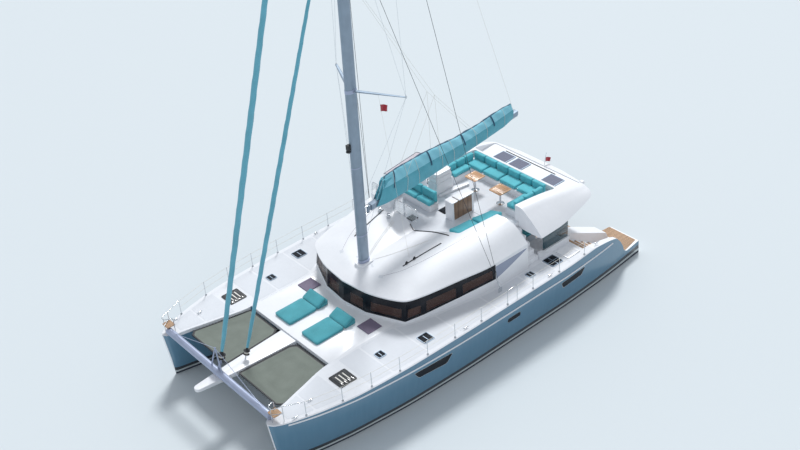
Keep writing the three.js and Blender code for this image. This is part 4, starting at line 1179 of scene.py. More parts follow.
@dataclass(frozen=True)
class Studio:
    """Pale floor at the waterline under a broad key light and an even sky."""

    reach: float = 700.0
    key_from: Point = (-0.62, -0.52, 1.0)
    key_strength: float = 2.4
    key_spread: float = 14.0
    sky: Color = (0.89, 0.935, 1.0)
    sky_strength: float = 0.64

    def make(self) -> None:
        """Makes the floor, the key light and the sky."""
        corners = [(x, y, 0.0) for x, y in rectangle(0.0, 0.0, 2 * self.reach, 2 * self.reach)]
        Form().add(corners, [(0, 1, 2, 3)], FLOOR).built("studio_floor")
        bpy.context.scene.view_settings.view_transform = "Standard"
        lamp = bpy.data.lights.new("key_light", "SUN")
        lamp.energy, lamp.angle = self.key_strength, math.radians(self.key_spread)
        key = linked("key_light", lamp)
        key.rotation_mode = "QUATERNION"
        key.rotation_quaternion = Vector(self.key_from).to_track_quat("Z", "Y")
        world = bpy.data.worlds.new("studio_sky")
        world.use_nodes = True
        backdrop = world.node_tree.nodes["Background"]
        backdrop.inputs[0].default_value = (*self.sky, 1.0)
        backdrop.inputs[1].default_value = self.sky_strength
        bpy.context.scene.world = world


# Hulls and decks

@dataclass
class Hulls:
    """Two decked hulls with their keels and stern steps. The port one is drawn and mirrored."""

    deck: float = 2.05
    centre: float = 3.39
    underwing: float = 0.9
    side_low: float = 1.73
    lip: float = 0.03
    rake: float = 0.11
    rake_from: float = 6.0
    stations: int = 84
    # Columns: x, half breadth at the waterline, depth, outer and inner deck edge
    rows: tuple = (
        (8.88, 0.012, 0.06, 3.35, 3.25), (8.78, 0.05, 0.21, 3.49, 3.12), (8.5, 0.095, 0.34, 3.66, 2.99),
        (8.0, 0.2, 0.48, 3.85, 2.89), (7.0, 0.4, 0.64, 4.13, 2.64), (5.58, 0.61, 0.76, 4.38, 2.35),
        (3.0, 0.85, 0.85, 4.53, 2.35), (0.0, 0.93, 0.88, 4.56, 2.35), (-4.0, 0.93, 0.76, 4.55, 2.35),
        (-6.0, 0.88, 0.52, 4.45, 2.35), (-7.5, 0.8, 0.28, 4.3, 2.35), (-9.32, 0.66, 0.06, 3.98, 2.43),
    )
    step_front: float = -5.7
    step_run: float = 0.4
    steps: int = 6
    platform: float = 0.56
    step_inner: float = 3.0
    bulwark: float = 4.12
    lap: float = 0.001
    # Columns: x and z down the bulwark's rounded end and the inner quay
    shoulder: tuple = ((-6.0, 2.05), (-6.7, 1.93), (-7.47, 1.71), (-7.84, 1.36), (-8.08, 1.0), (-8.2, 0.72),
                       (-8.42, 0.56))
    quay: tuple = ((-6.1, 2.05), (-8.45, 0.9), (-8.6, 0.56))
    # Columns: x and y of the centre, length and width, depth
    wells: tuple = ((5.7, 3.31, 0.664, 0.664, 0.42), (-5.14, 3.85, 0.644, 0.584, 1.9))
    rudder_x: float = -7.3
    bore: float = 0.04
    # Columns: x and z of the rub rail
    rubbing: tuple = ((8.35, 1.95), (6.0, 1.88), (3.5, 1.78), (1.0, 1.7), (-3.9, 1.65), (-7.25, 1.62))
    # Portlights as corners in x and z
    portlights: tuple = (
        ((3.52, 1.63), (3.3, 1.28), (1.95, 1.14), (1.68, 1.52)),
        ((-1.1, 1.42), (-1.1, 1.2), (-1.78, 1.2), (-1.78, 1.42)),
        ((-4.02, 1.47), (-4.14, 1.17), (-5.26, 1.2), (-5.46, 1.54)),
    )

    def edge(self, x: float, inner: bool = False) -> float:
        """Distance of the outer or inner deck edge from the centre plane."""
        return float(glide(self.rows, x)[0][3 if inner else 2])

    def side(self, x: float, z: float) -> float:
        """Distance of the outer side from the centre plane at a height over the knuckle's foot.

        Args:
            x: place along the boat.
            z: height.

        Returns:
            The distance.
        """
        half, _, outer, _ = glide(self.rows, x)[0]
        foot = (self.centre + half) * 0.3 + outer * 0.7
        share = min(1.0, max(0.0, (z - self.underwing) / (self.side_low - self.underwing)))
        return foot + (outer - foot) * share

    def section(self, x: float, bilge: int = 14) -> np.ndarray:
        """Closed section from the outer deck edge under the hull to the inner deck edge.

        Args:
            x: place along the boat.
            bilge: faces round the bottom.

        Returns:
            Its points.
        """
        half, depth, outer, inner = glide(self.rows, x)[0]
        lean = self.rake * max(0.0, (x - self.rake_from) / (self.rows[0][0] - self.rake_from))
        lip = min(self.lip, (outer - inner) / 4)
        points = [(outer - lip, self.deck), (outer, self.deck - lip), (outer, self.side_low),
                  (self.side(x, self.underwing), self.underwing)]
        for angle in np.linspace(0, math.pi, bilge + 1):
            points.append((self.centre + half * math.cos(angle), -depth * math.sin(angle) ** 0.85))
        points += [(inner, self.underwing), (inner, self.deck)]
        return np.array([(x - lean * (self.deck - z), y, z) for y, z in points])

    def shell(self) -> Piece:
        """The uncut body, with a white gunwale and deck over sides in the blue-grey of painted shade.

        Returns:
            The body of the port hull.
        """
        fore = np.linspace(0, 1, self.stations // 3) ** 1.6 * 1.9
        places = np.concatenate([self.rows[0][0] - fore[:-1],
                                 np.linspace(self.rows[0][0] - 1.9, self.rows[-1][0], self.stations)])
        rings = np.array([self.section(x) for x in places])
        finishes = [WHITE] + [SHADED_TOPSIDE] * (rings.shape[1] - 2) + [DECK]
        return Form().grid(rings, finishes).built("hull_moulding", sharp=30)

    def stern_tools(self) -> list[Form]:
        """Cutters of the steps, of the bulwark's end and of the quay beside the steps.

        Returns:
            The cutters, in that order.
        """
        high, end = self.deck + 0.1, self.rows[-1][0] - 0.2
        rise = (self.deck - self.platform) / self.steps
        outline = [(self.step_front, high)]
        for k in range(self.steps):
            x, z = self.step_front - k * self.step_run, self.deck - (k + 1) * rise
            outline += [(x, z), (x - self.step_run, z)]
        outline[-1] = (end, self.platform)
        outline.append((end, high))
        tools = [Form().prism(outline, (self.step_inner, self.bulwark), WHITE, Axis.Y)]
        places = np.linspace(self.shoulder[0][0], self.shoulder[-1][0], 22)
        shoulder = list(zip(places, glide([(-x, z) for x, z in self.shoulder], -places).ravel()))
        for line, span in ((shoulder, (self.bulwark - self.lap, 5.0)),
                           (self.quay, (2.0, self.step_inner + self.lap))):
            corners = [(line[0][0], high), *line, (end, self.platform), (end, high)]
            tools.append(Form().prism(corners, span, WHITE, Axis.Y))
        return tools

    def well_tools(self) -> Form:
        """Cutters of the hatch well, the engine bay and the rudder's bore.

        Returns:
            The cutters in one form.
        """
        form = Form()
        for x, y, length, width, depth in self.wells:
            form.prism(rectangle(x, y, length, width, 0.06), (self.deck - depth, self.deck + 0.1), WHITE)
        return form.turned([(self.bore, -0.41), (self.bore, 0.175)], (self.rudder_x, self.centre, 0), UP, WHITE)

    def keel(self) -> Form:
        """Stub keel with a rounded leading edge.

        Returns:
            The port keel.
        """
        form, share = Form(), np.linspace(0, 1, 15)
        breadth = 1.45 * (np.sqrt(share) * (1 - share) + 0.12 * share * (1 - share)) + 0.02 * share
        rings = []
        for z, fore, aft, half in ((-1.4, 1.37, -1.2, 0.13), (-1.35, 1.4, -1.22, 0.16), (-0.5, 1.7, -1.5, 0.21)):
            x = fore + (aft - fore) * share
            line = np.column_stack([x, self.centre + breadth * half, np.full_like(x, z)])
            other = np.column_stack([x, self.centre - breadth * half, np.full_like(x, z)])[1:][::-1]
            rings.append(np.vstack([line, other]))
        return form.grid(rings, SHADED_TOPSIDE)

    def trim(self) -> Piece:
        """Rub rail along the outer side.

        Returns:
            The port rail.
        """
        places = np.linspace(self.rubbing[0][0], self.rubbing[-1][0], 60)
        line = [(x, self.edge(x) + 0.004, float(glide(self.rubbing, x)[0][0])) for x in places]
        return tubes("rub_rail", [line], 0.03, WHITE, sides=12)

    def lights(self) -> Piece:
        """Dark portlights let into the outer side, each in a thin light frame.

        Returns:
            The port side's lights.
        """
        form = Form()
        for corners in self.portlights:
            outline = softened(corners, 0.09, 5)
            middle = outline.mean(axis=0)
            for proud, scale, finish in ((0.006, (1.0, 1.0), STEEL), (0.012, (0.97, 0.86), SMOKED)):
                form.grid([[(x, self.side(x, z) + depth, z) for x, z in middle + (outline - middle) * scale]
                           for depth in (-0.03, proud)], finish)
        return form.built("portlights")

    def treads(self) -> Piece:
        """Teak pads on the steps and on the bathing platform.

        Returns:
            The port side's pads.
        """
        form, rise = Form(), (self.deck - self.platform) / self.steps
        middle, width = (self.step_inner + self.bulwark) / 2, self.bulwark - self.step_inner - 0.12
        for k in range(self.steps - 1):
            x, z = self.step_front - (k + 0.5) * self.step_run, self.deck - (k + 1) * rise
            form.prism(rectangle(x, middle, self.step_run - 0.07, width, 0.03), (z, z + 0.012), TEAK)
        fore, aft = self.step_front - (self.steps - 1) * self.step_run - 0.03, self.rows[-1][0] + 0.06
        outline = [(fore, self.step_inner + 0.06), (fore, self.bulwark - 0.06), (-8.5, self.edge(-8.5) - 0.08),
                   (aft, self.edge(aft) - 0.09), (aft, self.edge(aft, True) + 0.08), (-8.66, 2.45),
                   (-8.66, self.step_inner + 0.06)]
        form.prism(softened(outline, 0.05), (self.platform, self.platform + 0.012), TEAK)
        return form.built("step_teak", 0.004)

    def make(self) -> None:
        """Builds and places everything of the hulls."""
        body = carve(self.shell(), self.keel(), Cut.ON)
        coaming = rectangle(-4.895, 3.32, 1.73, 0.16, 0.07)
        carve(body, Form().prism(coaming, (self.deck - 0.05, 2.3), WHITE), Cut.ON)
        for tool in [*self.stern_tools(), self.well_tools()]:
            carve(body, tool)
        smooth_within(body.data, 30)
        place_pair(body, "hull_moulding", "hull_paint", ["hull"])
        place_pair(self.trim(), "rub_rail", "gelcoat")
        place_pair(self.lights(), "portlights", "glass")
        place_pair(self.treads(), "step_teak", "teak")


@dataclass
class DeckFittings:
    """What stands on the hulls' decks: non-skid panels, hatches, cleats, stanchions and lifelines."""

    hulls: Hulls
    panel_thick: float = 0.004
    # Columns: x and the inner limit of the walkway
    walkway: tuple = ((8.3, 3.08), (7.0, 2.76), (5.58, 2.45), (2.9, 2.45), (2.2, 2.76), (1.5, 3.0), (0.0, 3.28),
                      (-1.6, 3.56), (-5.7, 3.58))
    # Ends of the non-skid panels
    panels: tuple = ((8.25, 7.35), (7.28, 6.2), (5.2, 4.3), (4.22, 2.7), (2.62, 1.2), (1.12, -0.7), (-0.78, -2.6),
                     (-2.68, -3.9), (-4.7, -4.75))
    # Columns: x, y and size of the fixed deck hatches, and whether each has four panes
    hatches: tuple = ((3.98, 3.27, 0.36, False), (2.26, 3.75, 0.5, False), (-3.05, 3.83, 0.34, False),
                      (-4.29, 3.83, 0.6, True))
    # Columns: how far the rim's section lies outside the hatch, and its height
    hatch_rim: tuple = ((0.0, 0.0), (0.0, 0.02), (-0.008, 0.028), (-0.03, 0.028), (-0.034, 0.02), (-0.034, 0.0),
                        (0.0, 0.0))
    cleats: tuple = ((8.05, 3.72), (7.2, 3.4), (0.9, 4.4), (-3.5, 4.42), (-6.3, 4.28))
    stanchions: tuple = (7.7, 6.4, 5.25, 4.05, 2.8, 1.5, 0.2, -1.15, -2.5, -3.95, -5.45)
    height: float = 0.62
    midline: float = 0.33
    # x of the gate's two posts
    gate: tuple = (-1.15, -1.65)

    def line(self, x: float, z: float) -> Point:
        """Point on the line of the stanchions."""
        return (x, self.hulls.edge(x) - 0.07, self.hulls.deck + z)

    def nonskid(self) -> Piece:
        """Thin non-skid panels along the walkway, with rounded corners.

        Returns:
            The port side's panels.
        """
        form = Form()
        for fore, aft in self.panels:
            places = np.linspace(fore, aft, 7)
            outer = [(x, self.hulls.edge(x) - 0.2) for x in places]
            inner = [(x, float(glide(self.walkway, x)[0][0])) for x in places]
            outline = softened([*outer, *inner[::-1]], 0.06, 3)
            form.prism(outline, (self.hulls.deck, self.hulls.deck + self.panel_thick), NONSKID)
        return form.built("walkway_nonskid", 0.0015, 1)

    def hatch(self, x: float, y: float, size: float, four: bool) -> Form:
        """One flush hatch: its light frame, dark pane and cross bars.

        Args:
            x: place along the boat.
            y: distance from the centre plane.
            size: its outer size.
            four: whether it has four panes.

        Returns:
            The hatch.
        """
        form, deck = Form(), self.hulls.deck
        rings = [[(px, py, deck + z) for px, py in rectangle(x, y, size + 2 * grow, size + 2 * grow, 0.07 + grow)]
                 for grow, z in self.hatch_rim]
        form.grid(rings, ANODISED, caps=False)
        form.prism(rectangle(x, y, size - 0.06, size - 0.06, 0.04), (deck, deck + 0.02), SMOKED)
        if four:
            for length, width in ((size - 0.05, 0.03), (0.03, size - 0.05)):
                form.prism(rectangle(x, y, length, width), (deck, deck + 0.026), ANODISED)
        else:
            form.prism(rectangle(x, y, 0.022, size * 0.6), (deck, deck + 0.026), ANODISED)
        return form

    def cleat(self, x: float, y: float) -> Form:
        """One mooring cleat: two feet under a horned bar.

        Args:
            x: place along the boat.
            y: distance from the centre plane.

        Returns:
            The cleat.
        """
        form, deck = Form(), self.hulls.deck
        horn = [(0.0, -0.14), (0.011, -0.12), (0.016, -0.04), (0.016, 0.04), (0.011, 0.12), (0.0, 0.14)]
        form.turned(horn, (x, y, deck + 0.06), (1, -0.12, 0), STEEL, 12)
        for shift in (-0.045, 0.045):
            form.turned([(0.022, 0), (0.014, 0.02), (0.014, 0.058)], (x + shift, y, deck), UP, STEEL, 12)
        return form

    def rails(self) -> list[Piece]:
        """Stanchions on their bases, lifelines and the bow pulpit with its seat.

        Returns:
            The port rails and the port seat.
        """
        deck, top = self.hulls.deck, self.height
        posts = [[self.line(x, 0.0), self.line(x, top)] for x in self.stanchions]
        wires = [[self.line(x, z) for x in self.stanchions] for z in (self.midline, top - 0.012)]
        high = deck + top + 0.02
        hoop = [self.line(self.stanchions[0], top - 0.012), (8.38, 3.56, high), (8.72, 3.44, high),
                (8.72, 3.24, high), (8.42, 3.12, high), (8.42, 3.12, deck)]
        legs = [[(x, y, deck), (x, y, high)] for x, y in ((8.38, 3.56), (8.7, 3.34))]
        middle = [(8.38, 3.56, deck + self.midline), (8.7, 3.34, deck + self.midline)]
        fore, aft = self.gate
        gate = [self.line(fore, top), self.line(fore, top + 0.02), self.line(aft, top + 0.02), self.line(aft, 0)]
        parts = [tubes("posts", [*posts, *legs, gate], 0.014, STEEL, 0.06),
                 tubes("hoop", [hoop, middle], 0.015, STEEL, 0.1), tubes("wires", wires, 0.006, ROPE, sides=6),
                 studs("bases", [self.line(x, 0.012) for x in self.stanchions], 0.04, 0.024, STEEL)]
        seat = Form().prism(rectangle(8.54, 3.31, 0.34, 0.4, 0.06), (deck + 0.3, deck + 0.328), TEAK)
        return [merged("deck_rails", parts), seat.built("seat", 0.008)]

    def make(self) -> None:
        """Builds and places the fittings on both decks."""
        place_pair(self.nonskid(), "walkway_nonskid", "gelcoat")
        for name, rows, maker, slot in (("deck_hatches", self.hatches, self.hatch, "glass"),
                                        ("deck_cleats", self.cleats, self.cleat, "steel")):
            form = Form()
            for row in rows:
                form.join(maker(*row))
            place_pair(form.built(name), name, slot)
        rails, seat = self.rails()
        place_pair(rails, "deck_rails", "steel", ["rails"])
        place_pair(seat, "bow_seat", "teak")


# Roof, hardtop and rig

@dataclass
class Roof:
    """Coach roof forward of the flybridge: a shallow shell of ribs from the brow to the raised sides."""

    brow: float = 3.0
    brow_slope: float = 0.03
    brow_x: float = 2.88
    lip: float = 0.055
    floor: float = 3.32
    # Columns: outer x and y, shoulder x, y, z, ridge x, y, z, centre x and z
    rows: tuple = (
        (2.94, 0.0, 2.6, 0.0, 3.17, 2.25, 0.0, 3.25, 1.86, 3.28),
        (2.81, 1.16, 2.48, 1.06, 3.18, 1.95, 0.85, 3.33, 1.5, 3.34),
        (2.14, 2.66, 1.85, 2.3, 3.23, 1.35, 1.5, 3.43, 1.0, 3.4),
        (1.5, 2.9, 1.25, 2.5, 3.33, 0.9, 1.62, 3.52, 0.6, 3.44),
        (0.0, 3.2, 0.0, 2.66, 3.52, -0.15, 1.76, 3.69, -0.1, 3.48),
        (-1.62, 3.48, -1.6, 2.88, 3.72, -1.6, 2.02, 3.88, -1.5, 3.5),
        (-3.26, 3.51, -3.15, 2.92, 3.87, -3.11, 2.33, 4.01, -3.2997, 3.5),
    )
    well: tuple = ((-0.68, 0.0), (-1.27, 1.43), (-1.35, 1.78), (-3.5, 2.08), (-3.5, -2.08), (-2.7, -2.08),
                   (-2.6, -2.66), (-0.9, -2.59), (-0.9, -0.7))
    helm_wall: tuple = ((-0.74, -1.5), (-0.72, -2.69), (-2.68, -2.78), (-2.78, -2.0), (-2.0, -1.5))
    helm_wall_top: float = 4.04

    def ribs(self) -> np.ndarray:
        """Smooth ribs from the centre of the brow round to the port aft corner.

        Returns:
            The ribs, each a row of points.
        """
        run = np.arange(len(self.rows), dtype=float)
        table = np.column_stack([run, np.array(self.rows)])
        fine = glide(table, np.linspace(0, run[-1], 43))
        ribs = []
        for ox, oy, sx, sy, sz, rx, ry, rz, cx, cz in fine:
            foot = self.brow + (self.brow_x - ox) * self.brow_slope
            centre_foot = self.brow + (self.brow_x - cx) * self.brow_slope
            top = [(0.0, ox, oy, foot + self.lip), (1.0, sx, sy, sz), (2.2, rx, ry, rz), (3.4, cx, 0.0, cz)]
            arc = glide(top, np.linspace(0, 3.4, 15))
            ribs.append([(cx, 0.0, centre_foot), (ox, oy, foot), *arc])
        return np.array(ribs)

    def make(self) -> None:
        """Builds the roof with its well and places it."""
        half = Form().grid(self.ribs(), WHITE)
        whole = Form().join(half).join(half.mirrored()).built("roof_moulding", sharp=25)
        step = Form().prism(rectangle(1.86, 0, 0.66, 0.46, 0.12), (3.1, 3.38), WHITE)
        wall = Form().prism(softened(self.helm_wall, 0.18), (self.floor - 0.05, self.helm_wall_top), WHITE)
        carve(whole, wall, Cut.ON)
        carve(whole, Form().prism(softened(self.well, 0.12), (self.floor, 5.0), WHITE))
        carve(whole, step, Cut.ON)
        repaint(whole, NONSKID, lambda centre, normal: normal.z > 0.9 and abs(centre.z - self.floor) < 0.002)
        smooth_within(whole.data, 28)
        place(whole, ROOT, "gelcoat", ["coachroof"])


@dataclass
class Spars:
    """Mast with its spreaders, track and lights, and the standing rigging."""

    step: Point = (1.86, 0.0, 3.38)
    rake: float = 0.025
    top: float = 28.7
    chord: float = 0.45
    breadth: float = 0.3
    # Columns: height, reach and sweep of a pair of spreaders
    spreaders: tuple = ((10.4, 1.87, 0.87), (18.2, 1.5, 0.7))
    chainplate: Point = (-1.5, 3.76, 2.21)
    # Heights where the cap and lower shrouds meet the mast
    heads: tuple = (26.4, 17.0)
    wire: float = 0.008

    def axis(self, z: float) -> float:
        """Place of the mast's middle along x at a height."""
        return self.step[0] - self.rake * (z - self.step[2])

    def ring(self, z: float, scale: float = 1.0, grow: float = 0.0, count: int = 40) -> np.ndarray:
        """Oval section of the mast at a height.

        Args:
            z: height.
            scale: factor on the section.
            grow: how far outside the tube it lies.
            count: how many points.

        Returns:
            Its points.
        """
        turn = np.linspace(0, 2 * math.pi, count, endpoint=False)
        along = (self.chord * scale / 2 + grow) * np.sign(np.cos(turn)) * np.abs(np.cos(turn)) ** 0.85
        across = (self.breadth * scale / 2 + grow) * np.sin(turn)
        return np.column_stack([self.axis(z) + along, across, np.full(count, z)])

    def tube(self) -> Piece:
        """The mast tube with its collars, luff track, gooseneck lugs, tangs and masthead.

        Returns:
            The mast.
        """
        form = Form().grid(np.array([self.ring(z, s) for z, s in (
            (self.step[2], 1.0), (12.0, 1.0), (21.0, 1.0), (25.0, 0.8), (self.top, 0.62))]), ANODISED)
        for low, high, grow in ((self.step[2], self.step[2] + 0.12, 0.018), (4.55, 4.6, 0.006), (7.4, 7.44, 0.006),
                                *((z - 0.06, z + 0.08, 0.01) for z, _, _ in self.spreaders)):
            form.grid(np.array([self.ring(low, 1, grow), self.ring(high, 1, grow)]), BEAM_ALLOY_SHADE_TINT)
        rows = [(z, self.axis(z) - self.chord * s / 2) for z, s in ((5.6, 1.0), (21.0, 1.0), (27.9, 0.65))]
        form.grid(np.array([[(x - 0.02, -0.016, z), (x + 0.03, -0.016, z), (x + 0.03, 0.016, z), (x - 0.02, 0.016, z)]
                            for z, x in rows]), BLACK)
        for low in (5.3375, 5.6375):
            form.box((1.395, -0.05, low), (1.66, 0.05, low + 0.025), STEEL)
        form.turned([(0.022, -0.15), (0.022, 0.15)], (1.44, 0, 5.5), UP, STEEL, 20)
        head = self.axis(self.top)
        lamp = self.axis(8.3) + self.chord / 2
        form.box((lamp - 0.02, -0.09, 8.2), (lamp + 0.12, 0.05, 8.4), BLACK)
        shade = [(0.02, 0.0), (0.075, 0.03), (0.08, 0.1), (0.07, 0.105)]
        form.turned(shade, (lamp + 0.06, -0.02, 8.2), (0.3, 0, -1), BLACK, 20)
        form.box((head - 0.32, -0.05, self.top - 0.09), (head + 0.3, 0.05, self.top - 0.02), ANODISED)
        return form.built("mast_tube", 0.004)

    def arms(self) -> Piece:
        """Aerofoil spreaders swept aft, and the lower struts of the diamonds.

        Returns:
            The spreaders.
        """
        form = Form()
        turns = np.linspace(0, 2 * math.pi, 16, endpoint=False)
        for z, reach, sweep in self.spreaders:
            for side in SIDES.values():
                root, tip = Vector((self.axis(z), 0, z)), Vector((self.axis(z) - sweep, side * reach, z + 0.06))
                rings = []
                for share, chord in ((0.03, 0.2), (0.5, 0.16), (1.0, 0.1)):
                    middle = root.lerp(tip, share)
                    rings.append([middle + Vector((chord * 0.5 * math.cos(a), 0, chord * 0.16 * math.sin(a)))
                                  for a in turns])
                form.grid(rings, ANODISED)
                form.turned([(0.02, -0.05), (0.03, 0.0), (0.02, 0.05)], tip, UP, STEEL, 12)
        return form.built("spreaders")

    def wires(self) -> Piece:
        """Shrouds, diamonds and the lower stays, each a taut wire.

        Returns:
            The wires of both sides.
        """
        shrouds = [[self.chainplate, (self.axis(head), 0.1, head)] for head in self.heads]
        tips = [(self.axis(z) - sweep, reach, z + 0.06) for z, reach, sweep in self.spreaders]
        diamonds = [[(self.axis(4.3), 0.15, 4.3), *tips, (self.axis(26.0), 0.1, 26.0)],
                    [(self.axis(6.0), 0.15, 6.0), tips[0], (self.axis(17.6), 0.12, 17.6)]]
        return merged("wires", [tubes("wires", both_sides(shrouds), self.wire, WIRE, sides=8),
                                tubes("diamonds", both_sides(diamonds), self.wire * 0.6, STEEL, sides=6)])

    def feet(self) -> Piece:
        """Chainplates with their toggles and bottle screws.

        Returns:
            The chainplates of both sides.
        """
        form, (x, y, z) = Form(), self.chainplate
        screw = [(0.012, 0), (0.02, 0.04), (0.02, 0.3), (0.012, 0.36), (0.009, 0.5)]
        form.box((x - 0.09, y - 0.012, 2.0503), (x + 0.09, y + 0.012, z + 0.03), STEEL)
        for head in self.heads:
            way = Vector((self.axis(head) - x, -y, head - z)).normalized()
            form.turned(screw, (x, y, z), way, STEEL, 12)
        return form.join(form.mirrored()).built("chainplates")

    def make(self) -> None:
        """Builds and places the mast and its wires."""
        place(self.tube(), ROOT, "alloy", ["mast"])
        place(self.arms(), ROOT, "alloy", ["mast"])
        rigging = merged("standing_rigging", [self.wires(), self.feet()])
        place(rigging, ROOT, "wire", ["shrouds_port", "shrouds_starboard"])


@dataclass
class SailBag:
    """Mainsail packed in its lazy bag on the boom: canvas panels, webbing, straps and the bare luff."""

    pin: Point = (1.44, 0.0, 5.5)
    rise: float = 0.81 / 7.74
    # Columns: x from the pin, half breadth, height over the boom, drop under it, lean aft of the top
    rows: tuple = ((-0.33, 0.15, 0.86, 0.06, 0.56), (-0.95, 0.25, 0.9, 0.095, 0.3), (-2.64, 0.275, 0.84, 0.115, 0.0),
                   (-4.64, 0.26, 0.61, 0.115, 0.0), (-5.74, 0.24, 0.57, 0.11, 0.0), (-6.84, 0.205, 0.6, 0.095, 0.0),
                   (-7.45, 0.12, 0.54, 0.06, 0.0))
    # Columns: turn from the top, share of the half breadth, share of the height or of the drop
    outline: tuple = ((0.0, 0.0, 1.0), (0.12, 0.16, 0.985), (0.3, 0.56, 0.79), (0.45, 0.84, 0.6), (0.56, 0.98, 0.47),
                      (0.72, 1.02, 0.2), (0.88, 0.99, -0.4), (1.0, 0.93, -1.0))
    # x of the straps and of the ties, from the pin
    straps: tuple = (-0.99, -2.95, -4.7, -6.3)
    ties: tuple = (-1.7, -2.3, -3.5, -4.1, -5.3, -5.9, -6.9)

    def point(self, x: float, turn: float, grow: float = 0.0) -> Point:
        """Point on the bag's skin.

        Args:
            x: distance from the pin, forward positive.
            turn: from -1 at the lower starboard edge over the top at 0 to 1 at the lower port edge.
            grow: how far outside the skin it lies.

        Returns:
            The point.
        """
        half, height, drop, lean = glide(self.rows, x)[0]
        sag = 0.012 * math.sin(x * 5.3) * math.sin(turn * 7) + 0.008 * math.sin(x * 13.1 + turn * 9)
        across, up = glide(self.outline, abs(turn))[0]
        z = up * (height if up > 0 else drop)
        side = math.copysign(1.0, turn)
        y = side * (across * half + (sag + grow) * min(1.0, across * 3))
        lift = sag * 0.6 + grow * (1.0 if abs(turn) < 0.6 else 0.2)
        leaning = x - lean * z / height
        return (self.pin[0] + leaning, y, self.pin[2] - leaning * self.rise + z + lift)

    def strip(self, places: Sequence[float], turns: Sequence[float], grow: float) -> np.ndarray:
        """Patch of the skin as rows of points."""
        return np.array([[self.point(x, turn, grow) for turn in turns] for x in places])

    def make(self) -> None:
        """Builds the canvas, its webbing and its straps, and places them on the boom."""
        first, last = self.rows[0][0], self.rows[-1][0]
        places, turns = np.linspace(first, last, 110), np.linspace(-1, 1, 49)
        form = Form()
        skin = self.strip(places, turns, 0.0)
        # Upper faces get the lighter, painted-light copy; the sides and ends get the darker, painted-shade copy.
        form.grid(skin, BAG_PAINTED_SHADE, around=False, caps=False)
        form.finishes = [BAG_PAINTED_LIT if 12 <= k % 48 < 35 else BAG_PAINTED_SHADE for k in range(len(form.faces))]
        ends = np.array([(self.point(last, turn), self.point(last, -turn)) for turn in np.linspace(0, 1, 25)])
        form.grid(np.stack([ends[:, 0], ends.mean(axis=1), ends[:, 1]], axis=1), BAG_PAINTED_SHADE, around=False, caps=False)
        bag = thicken(form.built("sail_bag_canvas", sharp=60), 0.004, -1.0)
        band = Form()
        band.grid(self.strip(places, np.linspace(-0.24, 0.03, 9), 0.008), BAG_DARK, around=False, caps=False)
        for x in self.straps:
            band.grid(self.strip(np.linspace(x - 0.03, x + 0.03, 3), np.linspace(-0.6, 0.6, 33), 0.012), BAG_DARK,
                      around=False, caps=False)
        webbing = thicken(band.built("sail_bag_webbing", sharp=60), 0.006, 1.0)
        ties = [self.strip([x], np.linspace(-0.98, 0.98, 40), 0.012)[0] for x in self.ties]
        place(bag, "boom", "sailbag", ["sail_bag"])
        place(webbing, "boom", "sailbag")
        place(tubes("bag_ties", ties, 0.006, ROPE, sides=6), "boom", "sailbag")
        self.luff()

    def luff(self) -> None:
        """Folds of the sail that show at the bag's open front."""
        form = Form()
        for k, (y, reach) in enumerate(((-0.11, 0.3), (-0.055, 0.42), (0.0, 0.36), (0.055, 0.44), (0.11, 0.28))):
            rows = []
            for z in np.linspace(0.16, 0.8, 12):
                wave = 0.03 * math.sin(z * 17 + k * 1.7)
                fore = -0.66 + reach * 0.8 + wave - 0.5 * z
                ring = [(fore + 0.03 * math.cos(a) - 0.03, y + 0.024 * math.sin(a))
                        for a in np.linspace(-1.57, 1.57, 7)]
                ring += [(-1.1, y + 0.024), (-1.1, y - 0.024)]
                rows.append([(self.pin[0] + px, py, self.pin[2] - px * self.rise + z) for px, py in ring])
            # The luff's folds take the darker, painted-shade copy of the canvas.
            form.grid(rows, BAG_PAINTED_SHADE)
        place(form.built("mainsail_luff", sharp=50), "boom", "sailbag")


# Cushions

